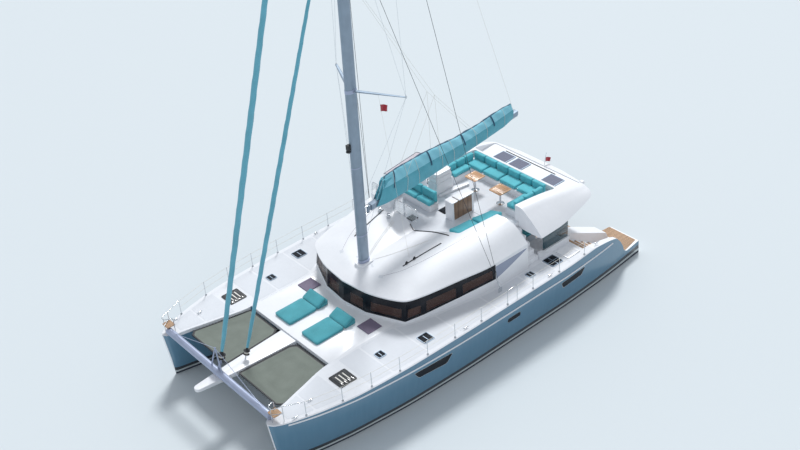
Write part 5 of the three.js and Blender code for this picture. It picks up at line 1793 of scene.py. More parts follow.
@dataclass(frozen=True)
class Pad:
    """One cushion over four corners of its underside: a cut box that swells when it is filled."""

    name: str
    corners: tuple
    up: Point
    fill: float = 0.7
    finish: Finish = TURQUOISE
    pitch: float = 0.06
    rounding: float = 0.05
    swell: float = 0.022
    inset: float = 0.012

    def blank(self) -> tuple[Piece, list[list[int]]]:
        """The unfilled shape.

        Returns:
            The object, and the vertices round its lower and upper seams.
        """
        a, b, c, d = (Vector(corner) for corner in self.corners)
        up = Vector(self.up)
        counts = [max(4, round((b - a).length / self.pitch)), max(4, round((d - a).length / self.pitch)),
                  max(3, round(up.length / self.pitch))]
        work, seen, seams = bmesh.new(), {}, [[], []]

        def vertex(*key: int) -> bmesh.types.BMVert:
            """The vertex at a place of the grid, made once.

            Returns:
                The vertex.
            """
            if key not in seen:
                u, v, w = (k / n for k, n in zip(key, counts))
                pull = self.rounding * (abs(2 * u - 1) * abs(2 * v - 1)) ** 6
                u, v = 0.5 + (u - 0.5) * (1 - pull), 0.5 + (v - 0.5) * (1 - pull)
                low = a.lerp(b, u).lerp(d.lerp(c, u), v)
                towards = ((a + b + c + d) / 4 - low).normalized() * self.inset
                seen[key] = work.verts.new(low + towards + up * (0.04 + 0.9 * w))
            return seen[key]

        for fixed, first, second in ((0, 1, 2), (1, 2, 0), (2, 0, 1)):
            for level in (0, counts[fixed]):
                for i in range(counts[first]):
                    for j in range(counts[second]):
                        corners = []
                        for di, dj in ((0, 0), (1, 0), (1, 1), (0, 1)):
                            key = [0, 0, 0]
                            key[fixed], key[first], key[second] = level, i + di, j + dj
                            corners.append(vertex(*key))
                        work.faces.new(corners)
        round_trip = ([(i, 0) for i in range(counts[0])] + [(counts[0], j) for j in range(counts[1])]
                      + [(i, counts[1]) for i in range(counts[0], 0, -1)] + [(0, j) for j in range(counts[1], 0, -1)])
        work.verts.index_update()
        for seam, level in zip(seams, (0, counts[2])):
            seam.extend(seen[(i, j, level)].index for i, j in round_trip)
        bmesh.ops.recalc_face_normals(work, faces=work.faces)
        mesh = bpy.data.meshes.new(self.name)
        work.to_mesh(mesh)
        work.free()
        mesh.materials.append(dressed(self.finish))
        return linked(self.name, mesh), seams

    def make(self) -> tuple[Piece, list[np.ndarray]]:
        """Fills the cushion in the cloth simulation and smooths it.

        Returns:
            The cushion, and the lines of its two seams.
        """
        piece, seams = self.blank()
        start = np.array([vertex.co for vertex in piece.data.vertices])
        cloth = piece.modifiers.new("filling", "CLOTH")
        cloth.settings.use_pressure = True
        cloth.settings.uniform_pressure_force = 4.0
        cloth.settings.quality = 4
        cloth.settings.effector_weights.gravity = 0.0
        cloth.point_cache.frame_start, cloth.point_cache.frame_end = 1, 20
        for number in range(1, 21):
            bpy.context.scene.frame_set(number)
        result = evaluated(piece)
        moved = np.array([vertex.co for vertex in result.vertices])
        bpy.data.meshes.remove(result)
        piece.modifiers.clear()
        bpy.context.scene.frame_set(1)
        way = moved - start
        length = np.linalg.norm(way, axis=1)[:, None]
        ends = start + way * np.minimum(1.0, self.swell / np.maximum(length, 1e-9))
        piece.data.vertices.foreach_set("co", ends.ravel())
        finer = piece.modifiers.new("finer", "SUBSURF")
        finer.levels = finer.render_levels = 1
        settle(piece)
        corners = np.array([vertex.co for vertex in piece.data.vertices[:len(start)]])
        lines = [np.vstack([corners[seam], corners[seam[:1]]]) for seam in seams]
        smooth_within(piece.data, 80)
        return piece, lines


@dataclass(frozen=True)
class Upholstery:
    """A row of cushions on one body, with the piping along their seams and the base under them."""

    name: str
    pads: tuple
    nodes: tuple
    slot: str = "canvas_turquoise"
    piping: Finish = TURQUOISE
    mirror: bool = False
    base: Optional[Form] = None
    base_slot: str = "gelcoat"

    def make(self) -> None:
        """Builds the cushions, pipes their upper seams and places everything."""
        seams = []
        for pad in self.pads:
            piece, lines = pad.make()
            seams.extend(lines)
            if self.mirror:
                place_pair(piece, pad.name, self.slot, self.nodes)
            else:
                place(piece, ROOT, self.slot, self.nodes)
        cord = tubes(f"{self.name}_piping", seams, 0.006, self.piping, sides=6)
        pieces = [(cord, self.slot)]
        if self.base:
            pieces.append((self.base.built(f"{self.name}_base", 0.012), self.base_slot))
        for piece, slot in pieces:
            if self.mirror:
                place_pair(piece, piece.name, slot, self.nodes)
            else:
                place(piece, ROOT, slot, self.nodes)


def cushion_row(stem: str, start: Point, end: Point, depth: Point, up: Point, count: int, gap: float = 0.006,
                **looks: Any) -> tuple[Pad, ...]:
    """Equal cushions side by side.

    Args:
        stem: their name, before the number.
        start: first corner of the row.
        end: last corner along the row.
        depth: the row's depth as a vector.
        up: their thickness as a vector.
        count: how many.
        gap: space between two of them.
        looks: other fields of each cushion.

    Returns:
        The cushions.
    """
    first, run, deep = Vector(start), Vector(end) - Vector(start), Vector(depth)
    spare = run.normalized() * gap / 2
    pads = []
    for k in range(count):
        a, b = first + run * (k / count) + spare, first + run * ((k + 1) / count) - spare
        pads.append(Pad(f"{stem}_{k + 1}", tuple(map(tuple, (a, b, b + deep, a + deep))), up, **looks))
    return tuple(pads)


def lounge(fly: float = 3.6, seat: float = 0.14, back: float = 0.27) -> list[Upholstery]:
    """Every upholstered place: flybridge sofa, bench, helm seat, sunpads, cockpit sofa and settee.

    Args:
        fly: height of the flybridge seat bases.
        seat: thickness of a seat cushion.
        back: height of a back cushion over the seat.

    Returns:
        The places, in the order they are made.
    """
    up = (0, 0, seat)
    deck = 2.052
    full = (0, 0, seat + back)
    sofa = (*cushion_row("sofa_seat_port", (-4.13, 1.49, fly), (-5.2, 1.49, fly), (0, 0.38, 0), up, 1),
            *cushion_row("sofa_seat_aft", (-5.21, 1.87, fly), (-5.21, -1.87, fly), (-0.56, 0, 0), up, 4),
            *cushion_row("sofa_seat_starboard", (-5.2, -1.49, fly), (-4.23, -1.49, fly), (0, -0.38, 0), up, 1),
            *cushion_row("sofa_back_port", (-4.14, 1.86, fly), (-5.7, 1.86, fly), (0, 0.18, 0), full, 3, swell=0.034),
            *cushion_row("sofa_back_aft", (-5.76, 1.98, fly), (-5.76, -1.98, fly), (-0.18, 0, 0), full, 6,
                         swell=0.034),
            *cushion_row("sofa_back_starboard", (-5.7, -1.86, fly), (-4.24, -1.86, fly), (0, -0.18, 0), full, 3,
                         swell=0.034))
    bench = (Pad("bench_pad_fore", ((-1.32, 1.19, fly), (-2.42, 1.27, fly), (-2.46, 1.885, fly), (-1.39, 1.735, fly)),
                 (0, 0, 0.17), swell=0.03),
             Pad("bench_pad_aft", ((-2.43, 1.27, fly), (-3.42, 1.42, fly), (-3.62, 1.88, fly), (-2.47, 1.885, fly)),
                 (0, 0, 0.17), swell=0.03))
    bench_base = Form().prism(softened([(-1.36, 1.22), (-1.42, 1.73), (-3.15, 1.97), (-3.56, 1.87), (-3.6, 1.66),
                                        (-3.24, 1.37)], 0.08), (3.321, 3.6), WHITE)
    helm = (*cushion_row("helm_seat", (-2.05, -0.66, fly), (-2.05, -2.28, fly), (-0.34, 0, 0), up, 2),
            *cushion_row("helm_back", (-2.41, -0.66, fly), (-2.41, -2.28, fly), (-0.14, 0, 0), (0, 0, 0.5), 2))
    helm_base = Form().box((-2.54, -2.28, 3.321), (-2.07, -0.66, 3.598), WHITE)
    sun = (Pad("sunpad_mattress", ((5.29, 0.31, deck), (3.95, 0.31, deck), (3.95, 1.31, deck), (5.29, 1.31, deck)),
               (0, 0, 0.103), finish=SUN_CLOTH),
           Pad("sunpad_headrest", ((3.98, 0.31, 2.06), (3.5, 0.31, 2.28), (3.5, 1.31, 2.28), (3.98, 1.31, 2.06)),
               (0.03, 0, 0.095), finish=SUN_CLOTH))
    wedge = Form().prism([(3.93, 2.052), (3.47, 2.052), (3.47, 2.27)], (0.34, 1.28), SUN_CLOTH, Axis.Y)
    cockpit = (*cushion_row("cockpit_seat", (-5.21, 1.49, 1.5), (-5.21, -1.49, 1.5), (-0.44, 0, 0), up, 3),
               *cushion_row("cockpit_back", (-5.67, 1.49, 1.5), (-5.67, -1.49, 1.5), (-0.17, 0, 0), (0, 0, 0.54), 3),
               *cushion_row("cockpit_chaise", (-5.19, -0.96, 1.5), (-4.21, -0.96, 1.5), (0, -0.53, 0), up, 1))
    cockpit_base = Form().box((-5.84, -1.49, 1.201), (-5.22, 1.49, 1.498), WHITE)
    cockpit_base.box((-5.25, -1.49, 1.201), (-4.22, -0.97, 1.498), WHITE)
    cloth = {"finish": SETTEE_CLOTH}
    saloon = (*cushion_row("settee_seat", (-1.89, 1.51, 1.48), (0.69, 1.51, 1.48), (0, 0.52, 0), up, 3, **cloth),
              *cushion_row("settee_back", (-1.89, 2.07, 1.48), (0.69, 2.07, 1.48), (0, 0.2, 0), (0, 0, 0.5), 3,
                           **cloth),
              *cushion_row("settee_end", (-1.26, 0.71, 1.48), (-1.89, 0.71, 1.48), (0, 0.79, 0), up, 1, **cloth))
    saloon_base = Form().box((-1.89, 1.52, 1.201), (0.69, 2.29, 1.478), WHITE)
    saloon_base.box((-1.89, 0.71, 1.201), (-1.27, 1.53, 1.478), WHITE)
    return [
        Upholstery("sofa", sofa, ("sofa_cushions",)), Upholstery("bench", bench, ("bench_cushion",), base=bench_base),
        Upholstery("helm", helm, ("helm_seat",), base=helm_base),
        Upholstery("sunpad", sun, ("sunpad",), piping=SUN_CLOTH, mirror=True, base=wedge,
                   base_slot="canvas_turquoise"),
        Upholstery("cockpit", cockpit, ("cockpit_sofa",), base=cockpit_base),
        Upholstery("settee", saloon, ("settee",), "bimini", SETTEE_CLOTH, base=saloon_base),
    ]


# Nets, windows and hardtop

@dataclass
class Nets:
    """Trampolines: woven nets laced between the cross beam, the centre spar and the hulls."""

    level: float = 1.944
    # Corners of the port net, and of the opening that it is laced to
    cloth: tuple = ((5.66, 0.64), (5.86, 0.49), (8.03, 0.36), (8.04, 2.62), (7.87, 2.79), (7.0, 2.575), (5.64, 2.28))
    opening: tuple = ((5.5803, 0.64), (5.86, 0.438), (8.1, 0.296), (8.1, 2.64), (7.96, 2.87), (7.0, 2.635),
                      (5.5803, 2.345))
    pitch: float = 0.11
    sag: float = 0.03
    rows: int = 22

    def net(self) -> Piece:
        """The woven sheet, which hangs a little in its middle.

        Returns:
            The port net.
        """
        outline = softened(self.cloth, 0.06, 3)
        centre = outline.mean(axis=0)
        rings = []
        for share in np.linspace(1.0, 0.04, self.rows):
            ring = centre + (outline - centre) * share
            drop = self.sag * (1 - share ** 2)
            rings.append([(x, y, self.level - drop) for x, y in ring])
        form = Form().grid(rings, NET, caps=False)
        form.finishes[:len(outline)] = [BLACK] * len(outline)
        last = (self.rows - 1) * len(outline)
        form.faces.append(tuple(range(last, last + len(outline))))
        form.finishes.append(NET)
        return thicken(form.built("trampoline_net", sharp=60), 0.003)

    def lacing(self) -> Piece:
        """Bolt rope round the net and a zigzag line to its frame.

        Returns:
            The port net's rope and line.
        """
        rope = np.column_stack([softened(self.cloth, 0.06, 3), np.full(len(self.cloth) * 4, self.level)])
        rope = np.vstack([rope, rope[:1]])
        zigzag = []
        edges = [zip(corners, corners[1:] + corners[:1]) for corners in (self.cloth, self.opening)]
        for (a, b), (c, d) in zip(*edges):
            count = max(2, int(math.dist(a, b) / self.pitch))
            for k in range(count):
                near, far = (k + 0.25) / count, (k + 0.75) / count
                zigzag.append((*np.array(a) + (np.array(b) - a) * near, self.level))
                zigzag.append((*np.array(c) + (np.array(d) - c) * far, self.level))
        zigzag.append(zigzag[0])
        return merged("trampoline_lacing", [tubes("bolt_rope", [rope], 0.016, BLACK, sides=8),
                                            tubes("lacing", [zigzag], 0.005, BLACK, sides=5)])

    def batten(self) -> Piece:
        """White strip on the hull's inner side, from the net up to the deck's edge.

        Returns:
            The port strip.
        """
        tree = tree_of("hull_moulding_port")
        rows = []
        for x in np.linspace(5.62, 8.48, 40):
            side = tree.ray_cast(Vector((x, 1.0, self.level)), Vector((0, 1, 0)))[0]
            over = tree.ray_cast(Vector((x, side.y + 0.06, 4.0)), Vector((0, 0, -1)))[0]
            row = []
            for z in np.linspace(self.level - 0.03, over.z - 0.004, 6):
                hit = tree.ray_cast(Vector((x, 1.0, z)), Vector((0, 1, 0)))[0]
                row.append((x, (hit if hit else side).y - 0.003, z))
            rows.append(row)
        return thicken(Form().grid(rows, WHITE, around=False, caps=False).built("net_batten", sharp=60), 0.006)

    def make(self) -> None:
        """Builds and places both nets with their lacing."""
        place_pair(self.batten(), "net_batten", "gelcoat")
        net, lacing = self.net(), self.lacing()
        outline = softened(self.cloth, 0.06, 3)
        place_pair(net, "trampoline_net", "net", ["trampoline"])
        place_pair(lacing, "trampoline_lacing", "net")
        for side in SIDES:
            net, lacing = (bpy.data.objects[f"trampoline_{part}_{side}"] for part in ("net", "lacing"))


@dataclass
class Glazing:
    """Wrap-round saloon windows: one dark band of panes with a black border, and blinds behind them."""

    # Columns: foot x and y, brow x and y, sill height
    rows: tuple = (
        (3.0, 0.0, 2.88, 0.0, 2.15), (2.87, 1.15, 2.75, 1.14, 2.145), (2.25, 2.64, 2.1, 2.61, 2.15),
        (1.55, 2.86, 1.48, 2.85, 2.21), (0.03, 3.16, 0.0, 3.14, 2.31), (-1.6, 3.45, -1.62, 3.42, 2.43),
    )
    deck: float = 2.05
    header: float = 0.025
    border: float = 0.075
    # Outer and inner face of the borders, behind the band's outer face
    rim: Point = (0.007, 0.011)
    # End of a facet, just short of the next one
    whole: float = 0.9999
    # Columns: facet, first and last share of its breadth that a blind covers, low and high share of its height
    blinds: tuple = ((0, 0.3, 0.86, 0.1, 0.62), (1, 0.12, 0.9, 0.12, 0.56), (2, 0.12, 0.86, 0.12, 0.56),
                     (3, 0.08, 0.92, 0.1, 0.66), (4, 0.1, 0.92, 0.12, 0.66))

    def top(self, x: float) -> float:
        """Height of the brow at a place."""
        return 3.0 + (2.88 - x) * 0.03

    def corner(self, row: float, share: float, depth: float) -> Point:
        """Point of the band.

        Args:
            row: place along the rows, from 0 in front.
            share: from 0 at the sill to 1 at the header.
            depth: how far behind the outer face.

        Returns:
            The point, on the port side.
        """
        index = min(int(row), len(self.rows) - 2)
        near, far = self.rows[index], self.rows[index + 1]
        fx, fy, bx, by, sill = (a + (b - a) * (row - index) for a, b in zip(near, far))
        z = sill + (self.top(bx) - self.header - sill) * share
        rise = (z - self.deck) / (self.top(bx) - self.deck)
        run = Vector((far[0] - near[0], far[1] - near[1])).normalized()
        return (fx + (bx - fx) * rise - run.y * depth, fy + (by - fy) * rise + run.x * depth, z)

    def patch(self, first: float, last: float, low: float, high: float, depths: Point, finish: Finish,
              form: Form) -> None:
        """Adds a flat slab: its ends along the rows, its shares of the height, its two faces' depths.

        Args:
            first: its first place along the rows.
            last: its last place along the rows.
            low: its low share of the height.
            high: its high share of the height.
            depths: depths of its outer and inner face.
            finish: its finish.
            form: the form that it goes to.
        """
        outer, inner = depths
        form.grid([[self.corner(place, *spot) for spot in ((low, outer), (high, outer), (high, inner), (low, inner))]
                   for place in (first, last)], finish)

    def make(self) -> None:
        """Builds and places the panes, the borders and the blinds."""
        borders, blinds, skins = Form(), Form(), []
        for facet, first, last, low, high in self.blinds:
            points = [self.corner(facet + along, up, 0.001) for along in (0, first, last, self.whole)
                      for up in (0.0, low, high, 1.0)]
            skin = Form().add(points, [(k, k + 1, k + 5, k + 4) for k in (0, 1, 2, 4, 5, 6, 8, 9, 10)], SMOKED)
            skin.finishes[4] = LIGHT_PANE
            for side, form in zip(SIDES, (skin, skin.mirrored())):
                skins.append(thicken(form.built(f"pane_{facet}_{side}"), 0.005))
            side = self.border / math.dist(self.rows[facet][:2], self.rows[facet + 1][:2])
            for start, stop, bottom, top in ((0, 1, 0.0, 0.08), (0, 1, 0.92, 1.0), (0, side, 0.08, 0.92),
                                             (1 - side, 1, 0.08, 0.92)):
                self.patch(facet + start, facet + min(stop, self.whole), bottom, top, self.rim, BLACK, borders)
            self.patch(facet + first, facet + last, low, high, (0.02, 0.026), BLIND, blinds)
            for level in np.arange(low + 0.05, high, 0.06):
                self.patch(facet + first, facet + last, level, level + 0.012, (0.016, 0.0199), BLIND, blinds)
        place(merged("saloon_panes", skins), ROOT, "glass", ["window_front", "window_port", "window_starboard"])
        for form, name, slot in ((borders, "pane_borders", "glass"), (blinds, "saloon_blinds", "wood")):
            place(Form().join(form).join(form.mirrored()).built(name), ROOT, slot)
        self.quarter()

    def quarter(self) -> None:
        """Grey panel of painted shade under the roof's edge, tapering aft from the side windows."""
        tree = tree_of("saloon_walls")
        rows = []
        for share in np.linspace(0, 1, 16):
            x = -1.63 - 1.6 * share
            low, high = 2.45 + 0.53 * share ** 1.2, 2.985 + 0.03 * share
            row = []
            for z in np.linspace(low, high, 6):
                hit = tree.ray_cast(Vector((x, 6.0, z)), Vector((0, -1, 0)))[0]
                row.append((x, (hit.y if hit else 3.45) + 0.002, z))
            rows.append(row)
        panel = thicken(Form().grid(rows, QUARTER_SHADE, around=False, caps=False).built("quarter_panel"), 0.006)
        place_pair(panel, "quarter_panel", "gelcoat")


@dataclass
class Hardtop:
    """Roof over the cockpit with its drooping wings, the sofa's well and base, and the solar panels."""

    # Columns: x, edge y and height, ridge y and height, underside height
    rows: tuple = (
        (-3.3003, 3.56, 3.14, 2.42, 4.03, 3.06), (-5.0, 3.52, 3.15, 2.58, 3.96, 3.06),
        (-6.3, 3.33, 3.22, 2.68, 3.8, 3.06), (-7.1, 3.15, 3.28, 2.66, 3.62, 3.13),
        (-7.5, 2.95, 3.3, 2.56, 3.52, 3.18), (-7.76, 1.5, 3.34, 1.3, 3.47, 3.25),
    )
    floor: float = 3.32
    solar_deck: float = 3.5
    well: tuple = ((-3.0, 2.06), (-4.0, 2.12), (-6.12, 2.25), (-6.12, -2.25), (-4.0, -2.12), (-3.0, -2.06))
    slot_aft: float = -4.0
    base: tuple = ((-4.09, 1.48), (-4.09, 2.1), (-6.0, 2.1), (-6.0, -2.1), (-4.19, -2.1), (-4.19, -1.48),
                   (-5.2, -1.48), (-5.2, 1.48))
    seat: float = 3.598
    panels: tuple = ((-6.84, -1.29), (-6.84, -0.42), (-6.84, 1.43))
    panel: float = 0.74
    # Columns: how far the frame's section lies inside the panel's edge, and its height
    panel_rim: tuple = ((0.0, 0.0), (0.0, 0.034), (0.027, 0.034), (0.027, 0.0), (0.0, 0.0))
    columns: tuple = (-5.98, 2.68)

    def ring(self, x: float) -> np.ndarray:
        """Section of the hardtop across the boat, with soft ridges and edges.

        Args:
            x: place along the boat.

        Returns:
            Its points.
        """
        edge, edge_z, ridge, ridge_z, under = glide([(-row[0], *row[1:]) for row in self.rows], -x)[0]
        over = [(edge - 0.25, under), (edge - 0.02, edge_z - 0.05), (edge, edge_z - 0.025), (edge - 0.02, edge_z)]
        wing = np.array([(edge - 0.02, edge_z), (ridge + 0.06, ridge_z - 0.06)])
        for share in np.linspace(0.12, 0.88, 6):
            middle = wing[0] + (wing[1] - wing[0]) * share
            over.append((middle[0] + 0.02 * math.sin(math.pi * share), middle[1] + 0.03 * math.sin(math.pi * share)))
        for turn in np.linspace(0.1, 0.9, 5):
            a, b, c = np.array(over[9]), np.array((ridge, ridge_z)), np.array((ridge - 0.16, ridge_z))
            over.append(tuple((1 - turn) ** 2 * a + 2 * turn * (1 - turn) * b + turn ** 2 * c))
        over.append((ridge - 0.16, ridge_z))
        half = np.array(over)
        other = half[::-1] * (-1, 1)
        return np.array([(x, y, z) for y, z in np.vstack([half, other])])

    def make(self) -> None:
        """Builds, cuts and places the hardtop and its solar panels."""
        first, last = self.rows[0][0], self.rows[-1][0]
        places = np.concatenate([np.linspace(first, -6.9, 22), np.linspace(-7.0, last, 14)])
        body = Form().grid(np.array([self.ring(x) for x in places]), WHITE).built("hardtop_moulding", sharp=28)
        solar = rectangle(-6.85, 0.0, 1.22, 4.8, 0.12)
        for outline, low in ((softened(self.well, 0.1), self.floor), (solar, self.solar_deck)):
            carve(body, Form().prism(outline, (low, 5.0), WHITE))
        carve(body, Form().box((self.slot_aft, -3.0, self.floor), (-3.0, 3.0, 5.0), WHITE))
        for side in SIDES.values():
            low, high = sorted((side * 2.3, side * 4.0))
            carve(body, Form().box((self.slot_aft, low, 2.9), (-3.0, high, 4.6), WHITE))
        carve(body, Form().prism(softened(self.base, 0.05), (self.floor - 0.02, self.seat), WHITE), Cut.ON)
        repaint(body, NONSKID, lambda centre, normal: normal.z > 0.9 and abs(centre.z - self.floor) < 0.002)
        smooth_within(body.data, 28)
        place(body, ROOT, "gelcoat", ["hardtop"])
        columns = Form()
        for side in SIDES.values():
            outline = rectangle(self.columns[0], side * self.columns[1], 0.19, 0.15, 0.05)
            columns.prism(outline, (2.0505, 3.1), WHITE)
        place(columns.built("hardtop_columns", sharp=40), ROOT, "gelcoat")
        cells, frames = Form(), Form()
        for x, y in self.panels:
            cell = self.panel - 0.05
            cells.prism(rectangle(x, y, cell, cell), (self.solar_deck, self.solar_deck + 0.03), CELLS)
            rims = ((self.panel - 2 * inset, z) for inset, z in self.panel_rim)
            frames.grid([[(px, py, self.solar_deck + z) for px, py in rectangle(x, y, size, size, 0.02)]
                         for size, z in rims], ANODISED, caps=False)
        place(cells.join(frames).built("solar_panels"), ROOT, "gelcoat")


# Flybridge, foresails and small fittings

@dataclass
class Flybridge:
    """Furniture of the flybridge: bar, fridge tower, tables, helm console with its screen, and the low plinth."""

    floor: float = 3.3205
    # Columns: low and high corner of the bar's white tops
    tops: tuple = (((-3.45, 0.03), (-2.64, 0.46)), ((-2.58, 0.03), (-2.25, 0.46)))
    top: float = 4.15
    # Columns: x and y of a tower level's centre, length, width, foot, head, edge
    levels: tuple = ((-3.5, -1.565, 0.9, 0.57, 3.3205, 3.88, 0.07), (-3.505, -1.565, 0.86, 0.52, 3.88, 4.1, 0.1),
                     (-3.505, -1.565, 0.84, 0.5, 4.11, 4.3, 0.12))
    tables: tuple = ((-4.45, 0.88, 0.64), (-4.47, -0.56, 0.6))
    table_top: float = 3.98
    slats: int = 6
    console_y: float = -2.08
    helm_wall: float = 4.041

    def bar(self) -> Piece:
        """Bar with timber panels under two white tops, and a white post at each end.

        Returns:
            The bar.
        """
        form = Form()
        (aft, inner), (_, outer) = self.tops[0]
        fore = self.tops[1][1][0]
        form.box((aft + 0.03, inner + 0.03, self.floor), (fore - 0.03, outer - 0.03, self.top - 0.045), BAR_WOOD)
        for x in (aft + 0.02, fore - 0.12):
            form.box((x, inner + 0.02, self.floor), (x + 0.1, outer - 0.02, self.top - 0.044), WHITE)
        for (x0, y0), (x1, y1) in self.tops:
            outline = rectangle((x0 + x1) / 2, (y0 + y1) / 2, x1 - x0, y1 - y0, 0.04)
            form.prism(outline, (self.top - 0.045, self.top), WHITE)
        for x in np.linspace(aft + 0.34, fore - 0.36, 3):
            low, high = self.floor + 0.04, self.top - 0.06
            form.box((x - 0.004, outer - 0.032, low), (x + 0.004, outer - 0.027, high), BLACK)
        return form.built("bar_counter", 0.006)

    def tower(self) -> Piece:
        """Fridge tower of rounded levels.

        Returns:
            The tower.
        """
        form = Form()
        for x, y, length, width, low, high, edge in self.levels:
            form.prism(rectangle(x, y, length, width, edge), (low, high), WHITE)
        form.box((-3.062, -1.7, 3.42), (-3.052, -1.42, 3.8), LID_GREY)
        return form.built("fridge_tower_levels", 0.02, 3)

    def table(self, x: float, y: float, size: float) -> Form:
        """One table: a slatted wooden top on a steel leg.

        Args:
            x: place along the boat.
            y: distance from the centre plane.
            size: its outer size.

        Returns:
            The table.
        """
        form, low, top, width = Form(), self.floor, self.table_top, (size - 0.09) / self.slats
        for k in range(self.slats):
            middle = y - size / 2 + 0.045 + width * (k + 0.5)
            form.prism(rectangle(x, middle, size - 0.09, width - 0.006), (top - 0.03, top - 0.002), TABLE_WOOD)
        rings = [[(px, py, top + z) for px, py in rectangle(x, y, size - 2 * inset, size - 2 * inset, 0.05)]
                 for inset, z in ((0.0, -0.035), (0.0, 0.0), (0.046, 0.0), (0.046, -0.035), (0.0, -0.035))]
        form.grid(rings, TABLE_WOOD, caps=False)
        profile = [(0.17, low), (0.17, low + 0.01), (0.06, low + 0.03), (0.042, low + 0.05), (0.042, top - 0.06),
                   (0.1, top - 0.036)]
        return form.turned(profile, (x, y, 0), UP, STEEL)

    def console(self) -> Piece:
        """Helm console with its instruments and engine levers.

        Returns:
            The console.
        """
        form, y = Form(), self.console_y
        side = softened([(-0.905, self.floor), (-1.14, self.floor), (-1.22, 3.95), (-1.16, 4.3), (-0.96, 4.37),
                         (-0.905, 4.2)], 0.05)
        form.prism(side, (y - 0.42, y + 0.4), WHITE, Axis.Y)
        for shift in (-0.26, 0.26):
            dial = [(0.07, 0.0), (0.07, 0.012), (0.06, 0.016)]
            form.turned(dial, (-1.195, y + shift, 4.12), (-1, 0, 0.17), BLACK, 20)
        form.box((-1.14, y - 0.16, 4.318), (-1.0, y + 0.16, 4.352), BLACK)
        lever = [(0.016, 0.0), (0.014, 0.12), (0.024, 0.13), (0.02, 0.16)]
        form.turned(lever, (-1.02, y + 0.33, 4.34), (0.22, 0, 0.98), STEEL, 12)
        return form.built("helm_console_shell", 0.012)

    def plinth(self) -> Piece:
        """Low white plinth behind the tower, the raised edge round the bench and hatches in the floor.

        Returns:
            The plinth and hatches.
        """
        outline = [(-3.98, -1.3), (-4.6, -1.12), (-4.56, -0.98), (-3.1, -1.2), (-3.1, -1.27), (-3.98, -1.27)]
        form = Form().prism(softened(outline, 0.03), (self.floor, 3.42), WHITE)
        for x, y, size in ((-2.6, -0.35, 0.42), (-1.35, -0.9, 0.36)):
            form.prism(rectangle(x, y, size, size, 0.04), (self.floor, self.floor + 0.006), SMOKED)
        return form.built("flybridge_plinth", 0.006)

    def screen(self) -> list[Piece]:
        """Clear screen in front of the flybridge, and the steel hoops that hold it.

        Returns:
            The screen and the hoops.
        """
        hoops = [[(-0.84, y, 3.72), (-0.95, y, 4.2), (-0.95, y - 0.62, 4.2), (-0.84, y - 0.62, 3.7)]
                 for y in (-0.78, -0.1)]
        wall = self.helm_wall
        hoops.append([(-0.76, -1.62, wall), (-0.84, -1.62, 4.52), (-0.84, -2.6, 4.52), (-0.78, -2.6, wall)])
        form = Form()
        for (x0, y0, z0), (x1, y1, z1), _, (_, y3, z3) in hoops:
            corners = [(x0, y0 - 0.02, z0), (x1, y1 - 0.02, z1 - 0.02), (x1, y3 + 0.02, z1 - 0.02),
                       (x0, y3 + 0.02, z3)]
            form.add(corners, [(0, 1, 2, 3)], CLEAR)
        return [thicken(form.built("flybridge_screen"), 0.006), tubes("screen_hoops", hoops, 0.014, STEEL, 0.09, 12)]

    def make(self) -> None:
        """Builds and places the furniture."""
        place(self.bar(), ROOT, "gelcoat", ["bar"])
        place(self.tower(), ROOT, "gelcoat", ["fridge_tower"])
        for (x, y, size), side in zip(self.tables, SIDES):
            place(self.table(x, y, size).built(f"fly_table_{side}_slats", 0.002), ROOT, "wood", [f"fly_table_{side}"])
        place(self.console(), ROOT, "gelcoat", ["helm_console"])
        place(self.plinth(), ROOT, "gelcoat")
        for piece, slot in zip(self.screen(), ("tint", "steel")):
            place(piece, ROOT, slot)


